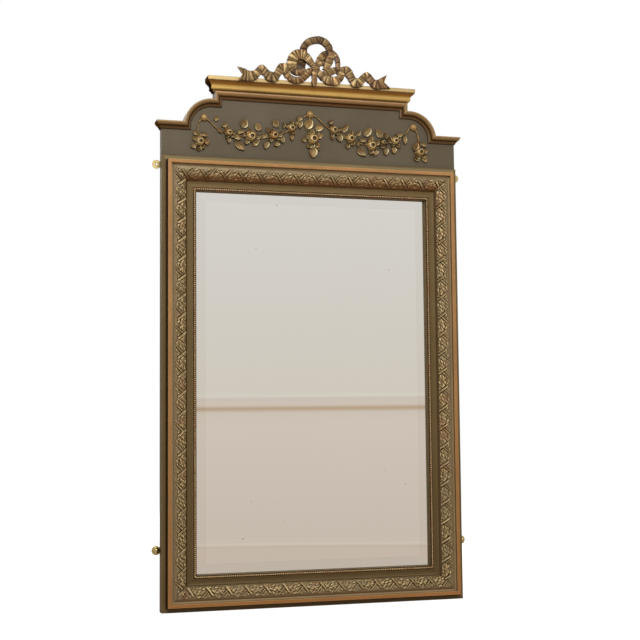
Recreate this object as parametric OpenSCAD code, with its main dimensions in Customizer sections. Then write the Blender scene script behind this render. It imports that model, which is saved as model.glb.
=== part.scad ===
// Tall wall mirror: a mitred moulded frame with crossed-ribbon and pearl ornament, a bevelled
// mirror plate, and a stepped crest that carries a cornice, flower garlands and a ribbon bow.
// The front faces -Y, +X is to the right and +Z is up. The wall plane is Y = 0, and the origin
// is the centre of the four wall holes. Each module draws its piece from the bottom of the frame
// up, and on_wall() then moves it to the origin. In the comments, height is distance from the wall.

/* [Frame] */
// Width of the frame over its outer edges
frame_w = 805; // [780:5:1100]
// Height of the frame, without the crest
frame_h = 1153; // [900:1:1700]
// Height of the raised front band from the wall
frame_d = 50; // [48:1:60]
// Width of the set-back shoulder outside the front band
shoulder_w = 12.5; // [8:0.5:20]
// Height of the shoulder from the wall
shoulder_h = 32; // [28:1:38]
// Width of the raised front band
band_w = 10; // [6:0.5:16]
// How far the band stands above the flat fillet inside it
band_step = 7; // [4:0.5:8]
// Width of the flat fillet between band and ornament
fillet_w = 6; // [3:0.5:12]
// Width of the rounded ornament bed
torus_w = 35; // [30:1:44]
// How far the ornament bed falls towards the glass
torus_drop = 13; // [10:0.5:14]
// How far the ornament bulges above its chord
torus_rise = 7; // [5:0.5:8]
// Width of the quirk between the ornament and the cove
quirk_w = 1; // [0.5:0.5:3]
// Width of the plain cove inside the ornament
cove_w = 16; // [10:1:24]
// Depth of the plain cove
cove_sag = 2.5; // [1:0.5:4]
// Width of the sloping sight edge
sight_w = 2.5; // [1.5:0.5:5]
// Thickness of the keys let into the back of the mitres
key_t = 5; // [3:0.5:8]
// Length of a mitre key
key_l = 50; // [30:1:52]
// Width of a mitre key
key_w = 12; // [8:1:14]

/* [Ornament] */
// Thickness of the moulded ornament strip under its relief
strip_t = 2; // [1.5:0.5:3]
// Relief of the crossed ribbons
strap_relief = 2.4; // [1:0.2:3]
// Relief of the leaves between the ribbons
leaf_relief = 1.6; // [0.8:0.2:2.4]
// Width of one crossed ribbon
strap_w = 5; // [3:0.5:8]
// Repeat length of the crossed ribbons
strap_pitch = 50; // [40:1:80]
// How far a ribbon runs along the frame while it crosses the bed
strap_reach = 30; // [16:1:36]
// Radius of one pearl
pearl_r = 2.3; // [1.5:0.1:2.4]
// Spacing of the pearls
pearl_pitch = 5; // [5:0.1:8]
// Thickness of the slip that carries the pearls
slip_t = 1.5; // [1:0.5:2.5]

/* [Glass and back] */
// Thickness of the mirror plate
glass_t = 5; // [4:0.5:6]
// Width of the bevel, measured from the edge of the plate
bevel_w = 34; // [20:1:45]
// How much the bevel thins the plate at its edge
bevel_drop = 2; // [1:0.5:3]
// Gap between the plate's edge and the rebate, filled by wedges
glass_gap = 3; // [2:0.5:4]
// Width of the glass rebate
rebate_w = 12; // [9:1:16]
// Height of the sight edge's underside from the wall
lip_h = 17; // [16:0.5:20]
// Length of one glass wedge
wedge_l = 32; // [20:1:50]
// Thickness of a glass wedge across the plate's edge
wedge_t = 2.8; // [2:0.1:3]
// Extra width of the rebate that the backboards lie in
ledge_w = 12; // [8:1:16]
// Thickness of the backboards
board_t = 8; // [5:0.5:9]
// Gap between neighbouring backboards
board_gap = 1; // [0.5:0.5:3]
// Radius of a nail's shank
nail_r = 1; // [0.8:0.1:1.4]
// Length of a nail
nail_l = 17; // [14:1:19]

/* [Crest] */
// Thickness of the crest board
crest_t = 23; // [21:1:28]
// Height of the crest's shoulders above the frame
crest_shoulder_z = 89; // [80:1:130]
// Half width of the crest's raised centre
centre_half_w = 264.5; // [240:0.5:280]
// Radius of the quarter-round sweeps
sweep_r = 75; // [65:1:85]
// Distance of the sweep's centre outside the raised centre
sweep_offset = 6.5; // [4:0.5:16]
// How far the sweep's centre lies below the shoulder's top
sweep_drop = 11.5; // [6:0.5:16]
// Height of the short riser above the sweep
riser_h = 20.5; // [12:0.5:40]
// Face width of the edge moulding
edge_t = 20; // [18:1:26]
// Projection of the edge moulding from the crest board
edge_p = 14; // [10:0.5:16]
// Height of the gilt cornice
cornice_t = 39; // [34:1:48]
// Projection of the gilt cornice from the crest board
cornice_p = 20; // [17:0.5:26]
// Distance of the two back battens from the middle
batten_x = 150; // [80:5:220]
// Width of a back batten
batten_w = 45; // [30:1:70]
// Thickness of a back batten
batten_t = 12; // [8:0.5:14]
// How far a batten reaches up the crest board
batten_up = 120; // [90:5:135]
// How far a batten reaches down the top rail
batten_down = 60; // [45:1:64]

/* [Crest ornament] */
// How far the front of the bow stands before the cornice's face
bow_front = 7; // [5:0.5:10]
// Depth of the bow where it stands on the cornice
bow_back = 7; // [5:0.5:10]
// Radius of a garland boss
boss_r = 9; // [7:0.5:12]
// Height of a garland boss
boss_t = 9; // [6:0.5:12]
// Thickness of a garland leaf
sprig_t = 5; // [4.5:0.5:8]
// Radius of a garland stem
stem_r = 2.2; // [1.6:0.1:2.6]
// Height of a rose above the crest board
rose_t = 13; // [9:0.5:16]

/* [Fixings] */
// Distance of the upper wall holes below the top of the frame
plate_top_down = 20; // [18:1:300]
// Height of the lower wall holes above the bottom of the frame
plate_low_z = 152; // [60:1:400]
// Distance of a wall hole outside the frame's edge
ear_out = 9; // [8:0.5:16]
// Radius of the round ear
ear_r = 11.5; // [11:0.5:16]
// Thickness of a fixing plate
plate_t = 1.5; // [1:0.5:2.5]
// Radius of a wall hole
wall_hole_r = 2.2; // [2:0.1:3.5]
// Radius of a screw's shank
screw_r = 1.6; // [1.2:0.1:2]
// Length of a plate screw
screw_l = 14; // [10:1:18]
// Length of a batten screw
batten_screw_l = 19; // [16:1:20]
// Height of the domed cover
dome_h = 8; // [6:0.5:8]
// Wall of the domed cover
dome_wall = 1; // [0.6:0.2:2]

/* [Hidden] */

// Segments in one arc of a moulding's outline
arc_n = 8;
// Segments between two points of a freely drawn curve
curve_n = 3;
// Clearance of a shank in its hole
fit = 0.05;
// Clearance of the plate under the sight edge and of the backboards behind it
bed_gap = 0.2;
// Overrun of a cutting shape past the face that it cuts
over = 1;
board_count = 4;

half_w = frame_w / 2;
band_in = shoulder_w + band_w;
fillet_h = frame_d - band_step;
torus_in = band_in + fillet_w;
torus_out = torus_in + torus_w;
torus_end_h = fillet_h - torus_drop;
cove_in = torus_out + quirk_w;
cove_out = cove_in + cove_w;
slip_w = 2 * pearl_r + 3.4;
// Wood left under a pearl's lowest point
pearl_floor = 0.1;
slip_out = cove_out + slip_w;
slip_seat_h = torus_end_h - slip_t - 1;
member_w = slip_out + sight_w;
rebate_a = member_w - rebate_w;
ledge_a = rebate_a - ledge_w;

// The torus is an arc over the chord from its outer to its inner edge
torus_chord = norm([torus_w, torus_drop]);
torus_r = (pow(torus_chord / 2, 2) + pow(torus_rise, 2)) / (2 * torus_rise);
torus_a = (torus_in + torus_out) / 2 - (torus_r - torus_rise) * torus_drop / torus_chord;
torus_h = (fillet_h + torus_end_h) / 2 - (torus_r - torus_rise) * torus_w / torus_chord;
torus_from = atan2(fillet_h - torus_h, torus_in - torus_a);
torus_to = atan2(torus_end_h - torus_h, torus_out - torus_a);

plate_edge_h = lip_h - bed_gap - bevel_drop * (rebate_w - glass_gap) / bevel_w;
plate_front_h = plate_edge_h + bevel_drop;
plate_back_h = plate_front_h - glass_t;
ledge_h = plate_back_h - bed_gap;
glass_w = frame_w - 2 * (rebate_a + glass_gap);
glass_h = frame_h - 2 * (rebate_a + glass_gap);
back_w = frame_w - 2 * ledge_a - 2;
back_h = frame_h - 2 * ledge_a - 2;
board_h = (back_h - (board_count - 1) * board_gap) / board_count;

shoulder_z = frame_h + crest_shoulder_z;
sweep_x = centre_half_w + sweep_offset;
sweep_z = shoulder_z - sweep_drop;
sweep_top = sweep_z + sweep_r;
cornice_z = sweep_top + riser_h;
crest_top = cornice_z + cornice_t;
// Where the outer and inner edges of the sweep meet those of the shoulder moulding
sweep_foot = [sweep_x + sqrt(pow(sweep_r, 2) - pow(sweep_drop, 2)), shoulder_z];
sweep_foot_in = [sweep_x + sqrt(pow(sweep_r - edge_t, 2) - pow(edge_t - sweep_drop, 2)),
    shoulder_z - edge_t];
cornice_face = crest_t + cornice_p;
bow_z = crest_top;

// The domed cover stays clear of the stile's side
dome_gap = 0.3;
dome_r = min(ear_r, ear_out) - dome_gap;
// The strip of a fixing plate that is let into the stile, measured around its wall hole
plate_strip_w = 14;
plate_margin = 2;
plate_above = 8;
plate_below = 34;
neck_w = 16;
plate_screw_z = [-28, 2];
// Heights of the batten screws from the joint, as shares of the batten's reach
batten_screw_up = [0.25, 0.8];
batten_screw_down = [0.25, 0.7];
// Places of the nails along a backboard's end, as shares of its width
nail_at = [0.2, 0.8];
nail_head_t = 0.8;

// Distance from the middle at which the bow is jointed to its tails
bow_split = 80;
// How far the bow's ground and its tails lie behind the highest ribbon
bow_ground = 4;
tail_ground = 2;
// Height of the highest ribbon in the list below
bow_top = 7;
knot_r = 9;
knot_z = 36;
knot_cap = 3;
dowel_r = 2;
dowel_l = 16;
dowel_x = 50;
dowel_z = -8;
// A rose's petals, cup, bud and heart, as shares of its radius and its height
petals = 5;
petal_dip = 0.8;
petal_t = 0.5;
cup_r = 0.72;
cup_t = 0.8;
bud_r = 0.5;
heart_r = 0.27;

// Gap between a boss and the stem that hangs from it
stem_gap = 0.3;

// The garlands are drawn for a sweep whose centre lies here, in x and in height above the frame.
// Their flowers within middle_x of the centre line keep their place when the crest grows wider.
drawn_sweep = [271, 77.5];
middle_x = 60;

plate_top_z = frame_h - plate_top_down;
origin_z = (plate_top_z + plate_low_z) / 2;

gilt = [0.72, 0.58, 0.27];
bronze = [0.62, 0.5, 0.33];
olive = [0.42, 0.38, 0.31];
copper = [0.69, 0.52, 0.36];
pine = [0.62, 0.48, 0.32];
brass = [0.83, 0.75, 0.5];
steel = [0.45, 0.45, 0.45];
silvered = [0.86, 0.86, 0.84];

function arc(centre, r, from, to, n = arc_n) =
    [for (i = [0:n]) let (a = from + (to - from) * i / n) centre + r * [cos(a), sin(a)]];

// A point on the arc through p1 and p2 of the curve that also passes p0 and p3
function curve_point(p0, p1, p2, p3, t) = (2 * p1 + (p2 - p0) * t
    + (2 * p0 - 5 * p1 + 4 * p2 - p3) * t * t + (3 * p1 - p0 - 3 * p2 + p3) * t * t * t) / 2;

// A smooth open curve through a list of points
function curve(p, n = curve_n) = [for (i = [0:len(p) - 2]) for (k = [0:n - 1])
    curve_point(p[max(i - 1, 0)], p[i], p[i + 1], p[min(i + 2, len(p) - 1)], k / n),
    p[len(p) - 1]];

// A smooth closed curve through a list of points
function closed_curve(p, n = curve_n) = let (m = len(p)) [for (i = [0:m - 1]) for (k = [0:n - 1])
    curve_point(p[(i + m - 1) % m], p[i], p[(i + 1) % m], p[(i + 2) % m], k / n)];

// A round outline about the origin
function ring_points(r, n = 20) = [for (i = [0:n - 1]) r * [cos(360 * i / n), sin(360 * i / n)]];

function reversed(p) = [for (i = [len(p) - 1:-1:0]) p[i]];
function mirrored(p) = [for (q = p) [-q[0], q[1]]];
function unit(v) = v / norm(v);
function path_normal(p, i) = let (d = unit(p[min(i + 1, len(p) - 1)] - p[max(i - 1, 0)])) [-d[1], d[0]];

// The outline of a ribbon of width w0 to w1 along a smooth curve
function band(points, w0, w1) = let (p = curve(points), n = len(p) - 1, side = function (s)
    [for (i = [0:n]) p[i] + s * (w0 + (w1 - w0) * i / n) / 2 * path_normal(p, i)])
    concat(side(1), reversed(side(-1)));

// Outlines in (distance from the frame's outer edge, height)
function frame_profile() = concat(
    [[0, 0], [0, shoulder_h - 1], [1, shoulder_h], [shoulder_w, shoulder_h]],
    [[shoulder_w, frame_d - 1], [shoulder_w + 1, frame_d]],
    [[band_in - 1.5, frame_d], [band_in, frame_d - 1.5], [band_in, fillet_h]],
    arc([torus_a, torus_h], torus_r - strip_t, torus_from, torus_to),
    [[torus_out, torus_end_h - 1.5], [cove_in, torus_end_h - 1.5]],
    cove_points(),
    [[cove_out, slip_seat_h], [slip_out, slip_seat_h], [member_w, lip_h + 1], [member_w, lip_h]],
    [[rebate_a, lip_h], [rebate_a, ledge_h], [ledge_a, ledge_h], [ledge_a, 0]]);

function cove_points() = let (r = (pow(cove_w / 2, 2) + pow(cove_sag, 2)) / (2 * cove_sag),
    half = asin(cove_w / 2 / r))
    arc([(cove_in + cove_out) / 2, torus_end_h + r - cove_sag], r, 270 - half, 270 + half);

// Outlines in (distance below the top edge, projection)
function edge_profile() = concat(
    [[0, 0], [0, edge_p - 0.5], [0.5, edge_p], [3.5, edge_p]],
    arc([3.5, edge_p * 0.35], edge_p * 0.57, 78, 22, 5),
    [[edge_t * 0.55, edge_p * 0.38]],
    arc([edge_t * 0.9, edge_p * 0.6], edge_p * 0.36, 190, 255, 4),
    [[edge_t - 1, edge_p * 0.2], [edge_t, 0]]);

function cornice_profile() = concat(
    [[0, 0], [0, cornice_p - 0.6], [0.6, cornice_p], [9.5, cornice_p], [10.2, cornice_p - 0.8]],
    curve([[12.5, cornice_p - 1.4], [15.5, cornice_p - 4.2], [18.5, cornice_p - 7.6],
        [21.5, cornice_p - 10], [25.5, cornice_p - 11]]),
    arc([28.5, cornice_p - 15], 5, 95, 20, 5),
    [[cornice_t - 3.5, 4.5], [cornice_t - 3.5, 3.6], [cornice_t, 3.6], [cornice_t, 0]]);

function crest_outline() = let (half = concat(
    [[half_w, frame_h], [half_w, shoulder_z]],
    arc([sweep_x, sweep_z], sweep_r, asin(sweep_drop / sweep_r), 90, 16),
    [[centre_half_w, sweep_top], [centre_half_w, crest_top]]))
    concat(half, reversed(mirrored(half)));

// A plate in the plane of the front, from height h0 to height h1
module front_plate(h0, h1) {
    translate([0, -h0, 0]) rotate([90, 0, 0]) linear_extrude(h1 - h0) children();
}

// An outline in (distance inwards, height) drawn out along X, with inwards as +Z
module run_x(length) {
    translate([-length / 2, 0, 0]) rotate([180, -90, 0]) linear_extrude(length) children();
}

module at_bottom() { children(); }
module at_top() { translate([0, 0, frame_h]) mirror([0, 0, 1]) children(); }
module at_left() { translate([-half_w, 0, frame_h / 2]) rotate([0, 90, 0]) children(); }
module at_right() { mirror([1, 0, 0]) at_left() children(); }
module both_sides() { children(); mirror([1, 0, 0]) children(); }

// One side of the frame as seen from the front, mitred at both ends
module mitre_outline(length) {
    polygon([[-length / 2, 0], [length / 2, 0], [length / 2 - member_w, member_w],
        [member_w - length / 2, member_w]]);
}

// Cuts a run to mitres at both ends
module mitred(length) {
    intersection() {
        children();
        front_plate(0, frame_d + over) mitre_outline(length);
    }
}

module frame_member(length) {
    mitred(length) run_x(length) polygon(frame_profile());
}

// Ribbons and leaves as seen from the front, to be cut from a shell over the torus
module strap_pattern(length) {
    count = floor(length / strap_pitch / 2);
    lean = strap_reach / 2;
    for (i = [-count:count]) translate([i * strap_pitch, 0]) for (s = [-1, 1])
        polygon([[-s * lean - strap_w / 2, torus_in - over], [-s * lean + strap_w / 2, torus_in - over],
            [s * lean + strap_w / 2, torus_out + over], [s * lean - strap_w / 2, torus_out + over]]);
}

module leaf_pattern(length) {
    count = floor(length / strap_pitch / 2);
    middle = (torus_in + torus_out) / 2;
    middle_l = strap_pitch - 3.3 * strap_w;
    side_l = strap_pitch - strap_reach * 0.6;
    for (i = [-count:count]) translate([i * strap_pitch, 0]) {
        translate([strap_pitch / 2, middle]) polygon(vesica_points(middle_l, torus_w * 0.3));
        for (s = [-1, 1]) translate([strap_pitch / 2, middle + s * torus_w * 0.3])
            polygon(vesica_points(side_l, torus_w * 0.22));
    }
}

// A pointed oval, long side along X
function vesica_points(length, width, n = 6) = let (
    r = (pow(length / 2, 2) + pow(width / 2, 2)) / width, half = asin(length / 2 / r),
    top = arc([0, width / 2 - r], r, 90 - half, 90 + half, n))
    concat(top, [for (i = [1:n - 1]) -top[i]]);

// The part of a ring about the torus axis that covers the bed
module torus_shell(length, r0, r1) {
    centre = [torus_a, torus_h];
    run_x(length) polygon(concat(arc(centre, r0, torus_from, torus_to),
        arc(centre, r1, torus_to, torus_from)));
}

module ornament(length) {
    color(bronze) {
        mitred(length) torus_shell(length, torus_r - strip_t, torus_r);
        intersection() {
            torus_shell(length, torus_r - strip_t / 2, torus_r + strap_relief);
            front_plate(0, frame_d + over) intersection() {
                strap_pattern(length);
                mitre_outline(length);
            }
        }
        intersection() {
            torus_shell(length, torus_r - strip_t / 2, torus_r + leaf_relief);
            front_plate(0, frame_d + over) intersection() {
                leaf_pattern(length);
                mitre_outline(length);
            }
        }
    }
}

module pearls(length) {
    inset = cove_out + slip_w / 2;
    count = floor((length / 2 - inset) / pearl_pitch);
    color(gilt) {
        mitred(length) run_x(length) translate([cove_out, slip_seat_h]) square([slip_w, slip_t]);
        for (i = [-count:count])
            translate([i * pearl_pitch, -slip_seat_h - pearl_floor - pearl_r, inset])
                sphere(pearl_r, $fn = 24);
    }
}

// A countersunk screw whose head lies flush with the face at height h
module screw(h, length, grow = 0) {
    translate([0, -h, 0]) rotate([90, 0, 0]) {
        cylinder(r = screw_r + grow, h = length, $fn = 32);
        cylinder(r1 = screw_r * 2 + grow, r2 = screw_r + grow, h = screw_r, $fn = 32);
    }
}

// Key positions: one across each mitre, centred between its neighbours
module key_shape(grow = 0) {
    along = (plate_strip_w + ledge_a) / 2;
    for (side = [0, 1], end = [0, 1])
        translate([0, end * frame_h]) mirror([side, 0]) mirror([0, end])
            translate([-half_w + along, along]) rotate(-45)
                square([key_l, key_w] + 2 * grow * [1, 1], center = true);
}

// The outline of one fixing plate, with its wall hole at height z on the right-hand side
module plate_outline(z) {
    translate([half_w + ear_out, z]) circle(ear_r, $fn = 64);
    translate([half_w - plate_margin, z - neck_w / 2]) square([ear_out + plate_margin, neck_w]);
    translate([half_w - plate_strip_w, z - plate_below])
        square([plate_strip_w - plate_margin + fit, plate_below + plate_above]);
}

module plate_screws_at(z, grow = 0) {
    for (dz = plate_screw_z)
        translate([half_w - plate_strip_w / 2 - 1, 0, z + dz]) screw(0, screw_l, grow);
}

module fixing_plate(z) {
    color(brass) difference() {
        front_plate(0, plate_t) plate_outline(z);
        plate_screws_at(z, fit);
        translate([half_w + ear_out, over, z]) rotate([90, 0, 0])
            cylinder(r = wall_hole_r, h = plate_t + 2 * over, $fn = 48);
    }
}

module plate_cuts() {
    for (z = [plate_low_z, plate_top_z]) {
        front_plate(-over, plate_t) plate_outline(z);
        plate_screws_at(z, fit);
    }
}

module dome_cover() {
    shell_r = (pow(dome_r, 2) + pow(dome_h, 2)) / (2 * dome_h);
    color(brass) translate([half_w + ear_out, -plate_t, plate_low_z]) rotate([90, 0, 0])
        rotate_extrude($fn = 64) intersection() {
            translate([0, dome_h - shell_r]) difference() {
                circle(shell_r, $fn = 96);
                circle(shell_r - dome_wall, $fn = 96);
            }
            square([dome_r + over, dome_h + over]);
        }
}

module batten_shape() {
    translate([batten_x - batten_w / 2, frame_h - batten_down])
        square([batten_w, batten_up + batten_down]);
}

module batten_screws_at(grow = 0) {
    for (z = concat(batten_up * batten_screw_up, -batten_down * batten_screw_down))
        translate([batten_x, 0, frame_h + z]) screw(0, batten_screw_l, grow);
}

module batten_cuts() {
    front_plate(-over, batten_t) batten_shape();
    batten_screws_at(fit);
}

module crest_batten() {
    color(pine) difference() {
        front_plate(0, batten_t) batten_shape();
        batten_screws_at(fit);
    }
}

// Nails along the right-hand ends of the backboards
module nails_at(grow = 0) {
    x = half_w - (rebate_a + ledge_a) / 2;
    for (i = [0:board_count - 1]) for (s = nail_at)
        translate([x, board_t - ledge_h, board_z(i) + s * board_h]) rotate([90, 0, 0])
            cylinder(r = nail_r + grow, h = nail_l, $fn = 24);
}

function board_z(i) = ledge_a + 1 + i * (board_h + board_gap);

module backboard(i) {
    color(pine) difference() {
        front_plate(ledge_h - board_t, ledge_h)
            translate([-back_w / 2, board_z(i)]) square([back_w, board_h]);
        both_sides() nails_at(fit);
    }
}

module backboard_nails() {
    x = half_w - (rebate_a + ledge_a) / 2;
    color(steel) both_sides() {
        nails_at();
        for (i = [0:board_count - 1]) for (s = nail_at)
            translate([x, board_t - ledge_h + nail_head_t, board_z(i) + s * board_h])
                rotate([90, 0, 0]) cylinder(r = nail_r * 2, h = nail_head_t, $fn = 24);
    }
}

module frame_stile() {
    color(olive) difference() {
        at_right() frame_member(frame_h);
        plate_cuts();
        nails_at(fit);
        front_plate(-over, key_t) key_shape(fit);
    }
}

module frame_rail_top() {
    color(olive) difference() {
        at_top() frame_member(frame_w);
        both_sides() batten_cuts();
        front_plate(-over, key_t) key_shape(fit);
    }
}

module frame_rail_bottom() {
    color(olive) difference() {
        at_bottom() frame_member(frame_w);
        front_plate(-over, key_t) key_shape(fit);
    }
}

module mitre_keys() {
    color(pine) front_plate(0, key_t) key_shape();
}

module mirror_plate() {
    edge = rebate_a + glass_gap;
    bevel = [[edge - over, plate_edge_h - bevel_drop * over / bevel_w], [edge + bevel_w, plate_front_h],
        [edge + bevel_w, plate_front_h + over], [edge - over, plate_front_h + over]];
    color(silvered) difference() {
        front_plate(plate_back_h, plate_front_h)
            translate([-glass_w / 2, edge]) square([glass_w, glass_h]);
        at_bottom() run_x(frame_w) polygon(bevel);
        at_top() run_x(frame_w) polygon(bevel);
        at_left() run_x(frame_h) polygon(bevel);
        at_right() run_x(frame_h) polygon(bevel);
    }
}

// Softwood wedges between the rebate and the edge of the plate
module glass_wedges() {
    color(pine) {
        for (x = [-0.25, 0.25] * frame_w) {
            at_bottom() glass_wedge(x);
            at_top() glass_wedge(x);
        }
        for (z = [-0.3, 0, 0.3] * frame_h) {
            at_left() glass_wedge(z);
            at_right() glass_wedge(z);
        }
    }
}

module glass_wedge(x) {
    translate([x, 0, 0]) run_x(wedge_l)
        translate([rebate_a, plate_back_h]) square([wedge_t, plate_edge_h - plate_back_h]);
}

module crest_board() {
    color(olive) difference() {
        front_plate(0, crest_t) polygon(crest_outline());
        both_sides() batten_cuts();
    }
}

// A run of moulding on the face of the crest, with its top edge at height z
module face_run(x0, x1, z) {
    translate([(x0 + x1) / 2, 0, z]) mirror([0, 0, 1])
        run_x(x1 - x0) translate([0, crest_t]) children();
}

module shoulder_moulding() {
    end = half_w + edge_p;
    slope = (sweep_foot - sweep_foot_in) / edge_t;
    color(olive) intersection() {
        face_run(sweep_x, end, shoulder_z) polygon(edge_profile());
        front_plate(0, 2 * frame_d) polygon([sweep_foot_in - over * slope, sweep_foot + over * slope,
            [end + over, shoulder_z + over], [end + over, shoulder_z - edge_t - over]]);
        translate([0, 0, shoulder_z - edge_t - over]) linear_extrude(edge_t + 2 * over)
            polygon([[0, 0], [half_w, 0], [half_w, -crest_t], [end + over, -crest_t - edge_p - over],
                [0, -crest_t - edge_p - over]]);
    }
}

module shoulder_return() {
    color(olive) side_return(half_w, shoulder_z, edge_t, edge_p) polygon(edge_profile());
}

// A moulding that returns along the side face at x, back to the wall, and is mitred in front
module side_return(x, z, height, depth) {
    intersection() {
        translate([x, 0, z]) rotate([90, 0, 0]) linear_extrude(crest_t + depth)
            rotate(-90) children();
        translate([0, 0, z - height - over]) linear_extrude(height + 2 * over)
            polygon([[x, 0], [x, -crest_t], [x + depth + over, -crest_t - depth - over],
                [x + depth + over, 0]]);
    }
}

module sweep_moulding() {
    turn = 15;
    slope = (sweep_foot - sweep_foot_in) / edge_t;
    color(olive) intersection() {
        translate([sweep_x, 0, sweep_z]) rotate([90, 0, 0]) rotate([0, 0, -turn])
            rotate_extrude(angle = 90 + turn, $fn = 180)
                translate([sweep_r, crest_t]) mirror([1, 0]) polygon(edge_profile());
        front_plate(0, 2 * frame_d) polygon([[sweep_x, sweep_foot_in[1] - over], [sweep_x, sweep_top + over],
            [sweep_x + sweep_r + over, sweep_top + over], sweep_foot + [over, 0], sweep_foot,
            sweep_foot_in, sweep_foot_in - over * slope]);
    }
}

// The short straight end of the sweep, mitred to the riser
module sweep_end() {
    inner = [centre_half_w - edge_t, sweep_top - edge_t];
    color(olive) intersection() {
        face_run(centre_half_w - edge_t, sweep_x, sweep_top) polygon(edge_profile());
        front_plate(0, 2 * frame_d) polygon([inner, [centre_half_w, sweep_top],
            [sweep_x, sweep_top], [sweep_x, inner[1]]]);
    }
}

module riser_moulding() {
    color(olive) intersection() {
        translate([centre_half_w, 0, (sweep_top + cornice_z - edge_t) / 2]) rotate([0, -90, 0])
            run_x(riser_h + edge_t) translate([0, crest_t]) polygon(edge_profile());
        front_plate(0, 2 * frame_d) polygon([[centre_half_w, sweep_top], [centre_half_w, cornice_z],
            [centre_half_w - edge_t, cornice_z - edge_t], [centre_half_w - edge_t, sweep_top - edge_t]]);
    }
}

module centre_moulding() {
    color(copper) intersection() {
        face_run(-centre_half_w, centre_half_w, cornice_z) polygon(edge_profile());
        front_plate(0, 2 * frame_d) polygon([[-centre_half_w, cornice_z], [centre_half_w, cornice_z],
            [centre_half_w - edge_t, cornice_z - edge_t], [edge_t - centre_half_w, cornice_z - edge_t]]);
    }
}

module cornice_front() {
    end = centre_half_w + cornice_p;
    color(gilt) difference() {
        intersection() {
            face_run(-end, end, crest_top) polygon(cornice_profile());
            translate([0, 0, cornice_z - over]) linear_extrude(cornice_t + 2 * over)
                polygon([[-centre_half_w, -crest_t], [centre_half_w, -crest_t],
                    [end + over, -cornice_face - over], [-end - over, -cornice_face - over]]);
        }
        both_sides() bow_dowel(fit);
    }
}

module cornice_return() {
    color(gilt) side_return(centre_half_w, crest_top, cornice_t, cornice_p)
        polygon(cornice_profile());
}

// The outline of the bow, clockwise from its left joint: (x, height above the cornice)
bow_outline = [[-80, 18], [-81, 30], [-79, 42], [-74, 47], [-73, 58], [-61, 75], [-48, 81], [-39, 84],
    [-37, 97], [-29, 109], [-17, 116], [-2, 122], [8, 125], [21, 123], [36, 116], [45, 107], [51, 96],
    [54, 84], [62, 80], [68, 73], [71, 62], [72, 48], [74, 42], [80, 38], [81, 28], [80, 18], [76, 8],
    [68, -3], [56, -7], [42, -7], [29, -3], [22, 7], [14, 19], [9, 17], [6, 1], [-3, -14], [-9, -2],
    [-12, 17], [-17, 15], [-25, 4], [-36, -4], [-50, -6], [-63, -1], [-73, 9]];
// The gaps that show between its loops
bow_gaps = [
    [[-19, 75], [-13, 91], [-4, 99], [8, 103], [21, 99], [30, 91], [30, 83], [17, 77], [8, 65], [0, 55],
        [-6, 64], [-12, 74]],
    [[-26, 39], [-20, 46], [-14, 40], [-20, 32]],
    [[16, 32], [19, 31], [23, 41], [20, 43], [16, 38]],
    [[42, 36], [45, 48], [49, 61], [56, 49], [52, 41]],
    [[-61, 13], [-52, 15], [-44, 12], [-52, 9]],
    [[52, 19], [58, 24], [64, 27], [60, 21]]];
// Raised ribbons on it, as [points, width at the start, width at the end, height]
bow_ribbons = [
    [[[-27, 78], [-30, 91], [-24, 103], [-10, 110], [8, 114], [26, 109], [38, 98], [42, 84], [38, 72]],
        13, 13, 4],
    [[[-62, 42], [-59, 58], [-46, 69], [-30, 65], [-17, 53]], 18, 13, 6],
    [[[-38, 52], [-37, 38], [-29, 27]], 9, 10, 5],
    [[[-22, 20], [-40, 26], [-58, 23], [-69, 14], [-60, 4], [-44, 1], [-30, 7]], 8, 8, 7],
    [[[22, 20], [34, 9], [50, 3], [66, 8], [71, 19], [62, 28], [44, 28]], 9, 9, 7],
    [[[58, 74], [64, 62], [63, 48], [56, 34]], 8, 8, 5],
    [[[34, 66], [22, 54], [12, 46]], 12, 10, 5],
    [[[-2, 22], [-2, 8], [-3, -6]], 9, 5, 6]];

// The outline of one ribbon tail: its upper edge, its forked end and its lower edge
function tail_outline(s) = let (
    upper = [[78, 40], [90, 45], [101, 42], [108, 32], [112, 18], [119, 13], [127, 18], [133, 29],
        [143, 36], [154, 34], [162, 21], [169, 14], [179, 16], [190, 23], [200, 29], [209, 29]],
    fork = [[197, 11], [207, -3]],
    lower = [[190, -6], [172, -7], [154, -4], [147, 2], [141, 10], [136, 3], [130, -5], [115, -8],
        [100, -4], [92, 5], [86, 17], [82, 8], [78, 8]])
    [for (q = concat(curve(upper), fork, curve(lower))) [s * q[0], q[1]]];

module bow_layer(back, front) {
    translate([0, 0, bow_z]) front_plate(cornice_face + back, cornice_face + front) children();
}

// The block that the bow fits over: the cornice, and the pieces behind and below it
module cornice_seat() {
    front_plate(-over, cornice_face) translate([-frame_w, bow_z - frame_h])
        square([2 * frame_w, frame_h]);
}

module ribbon_bow() {
    color(bronze) difference() {
        union() {
            bow_layer(-bow_back, bow_front - bow_ground) intersection() {
                difference() {
                    polygon(closed_curve(bow_outline));
                    for (gap = bow_gaps) polygon(closed_curve(gap));
                }
                translate([-bow_split, -frame_d]) square([2 * bow_split, 4 * frame_d]);
            }
            for (r = bow_ribbons)
                bow_layer(0, bow_front + r[3] - bow_top) polygon(band(r[0], r[1], r[2]));
        }
        cornice_seat();
        knot_solid(fit);
        both_sides() bow_dowel(fit);
    }
}

module knot_solid(grow = 0) {
    translate([0, -cornice_face, bow_z + knot_z]) rotate([90, 0, 0])
        cylinder(r = knot_r + grow, h = bow_front + over + grow, $fn = 48);
}

module bow_knot() {
    color(bronze) {
        knot_solid();
        translate([0, -cornice_face - bow_front - over, bow_z + knot_z]) rotate([90, 0, 0])
            cylinder(r1 = knot_r, r2 = knot_r * 0.55, h = knot_cap, $fn = 48);
    }
}

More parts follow.
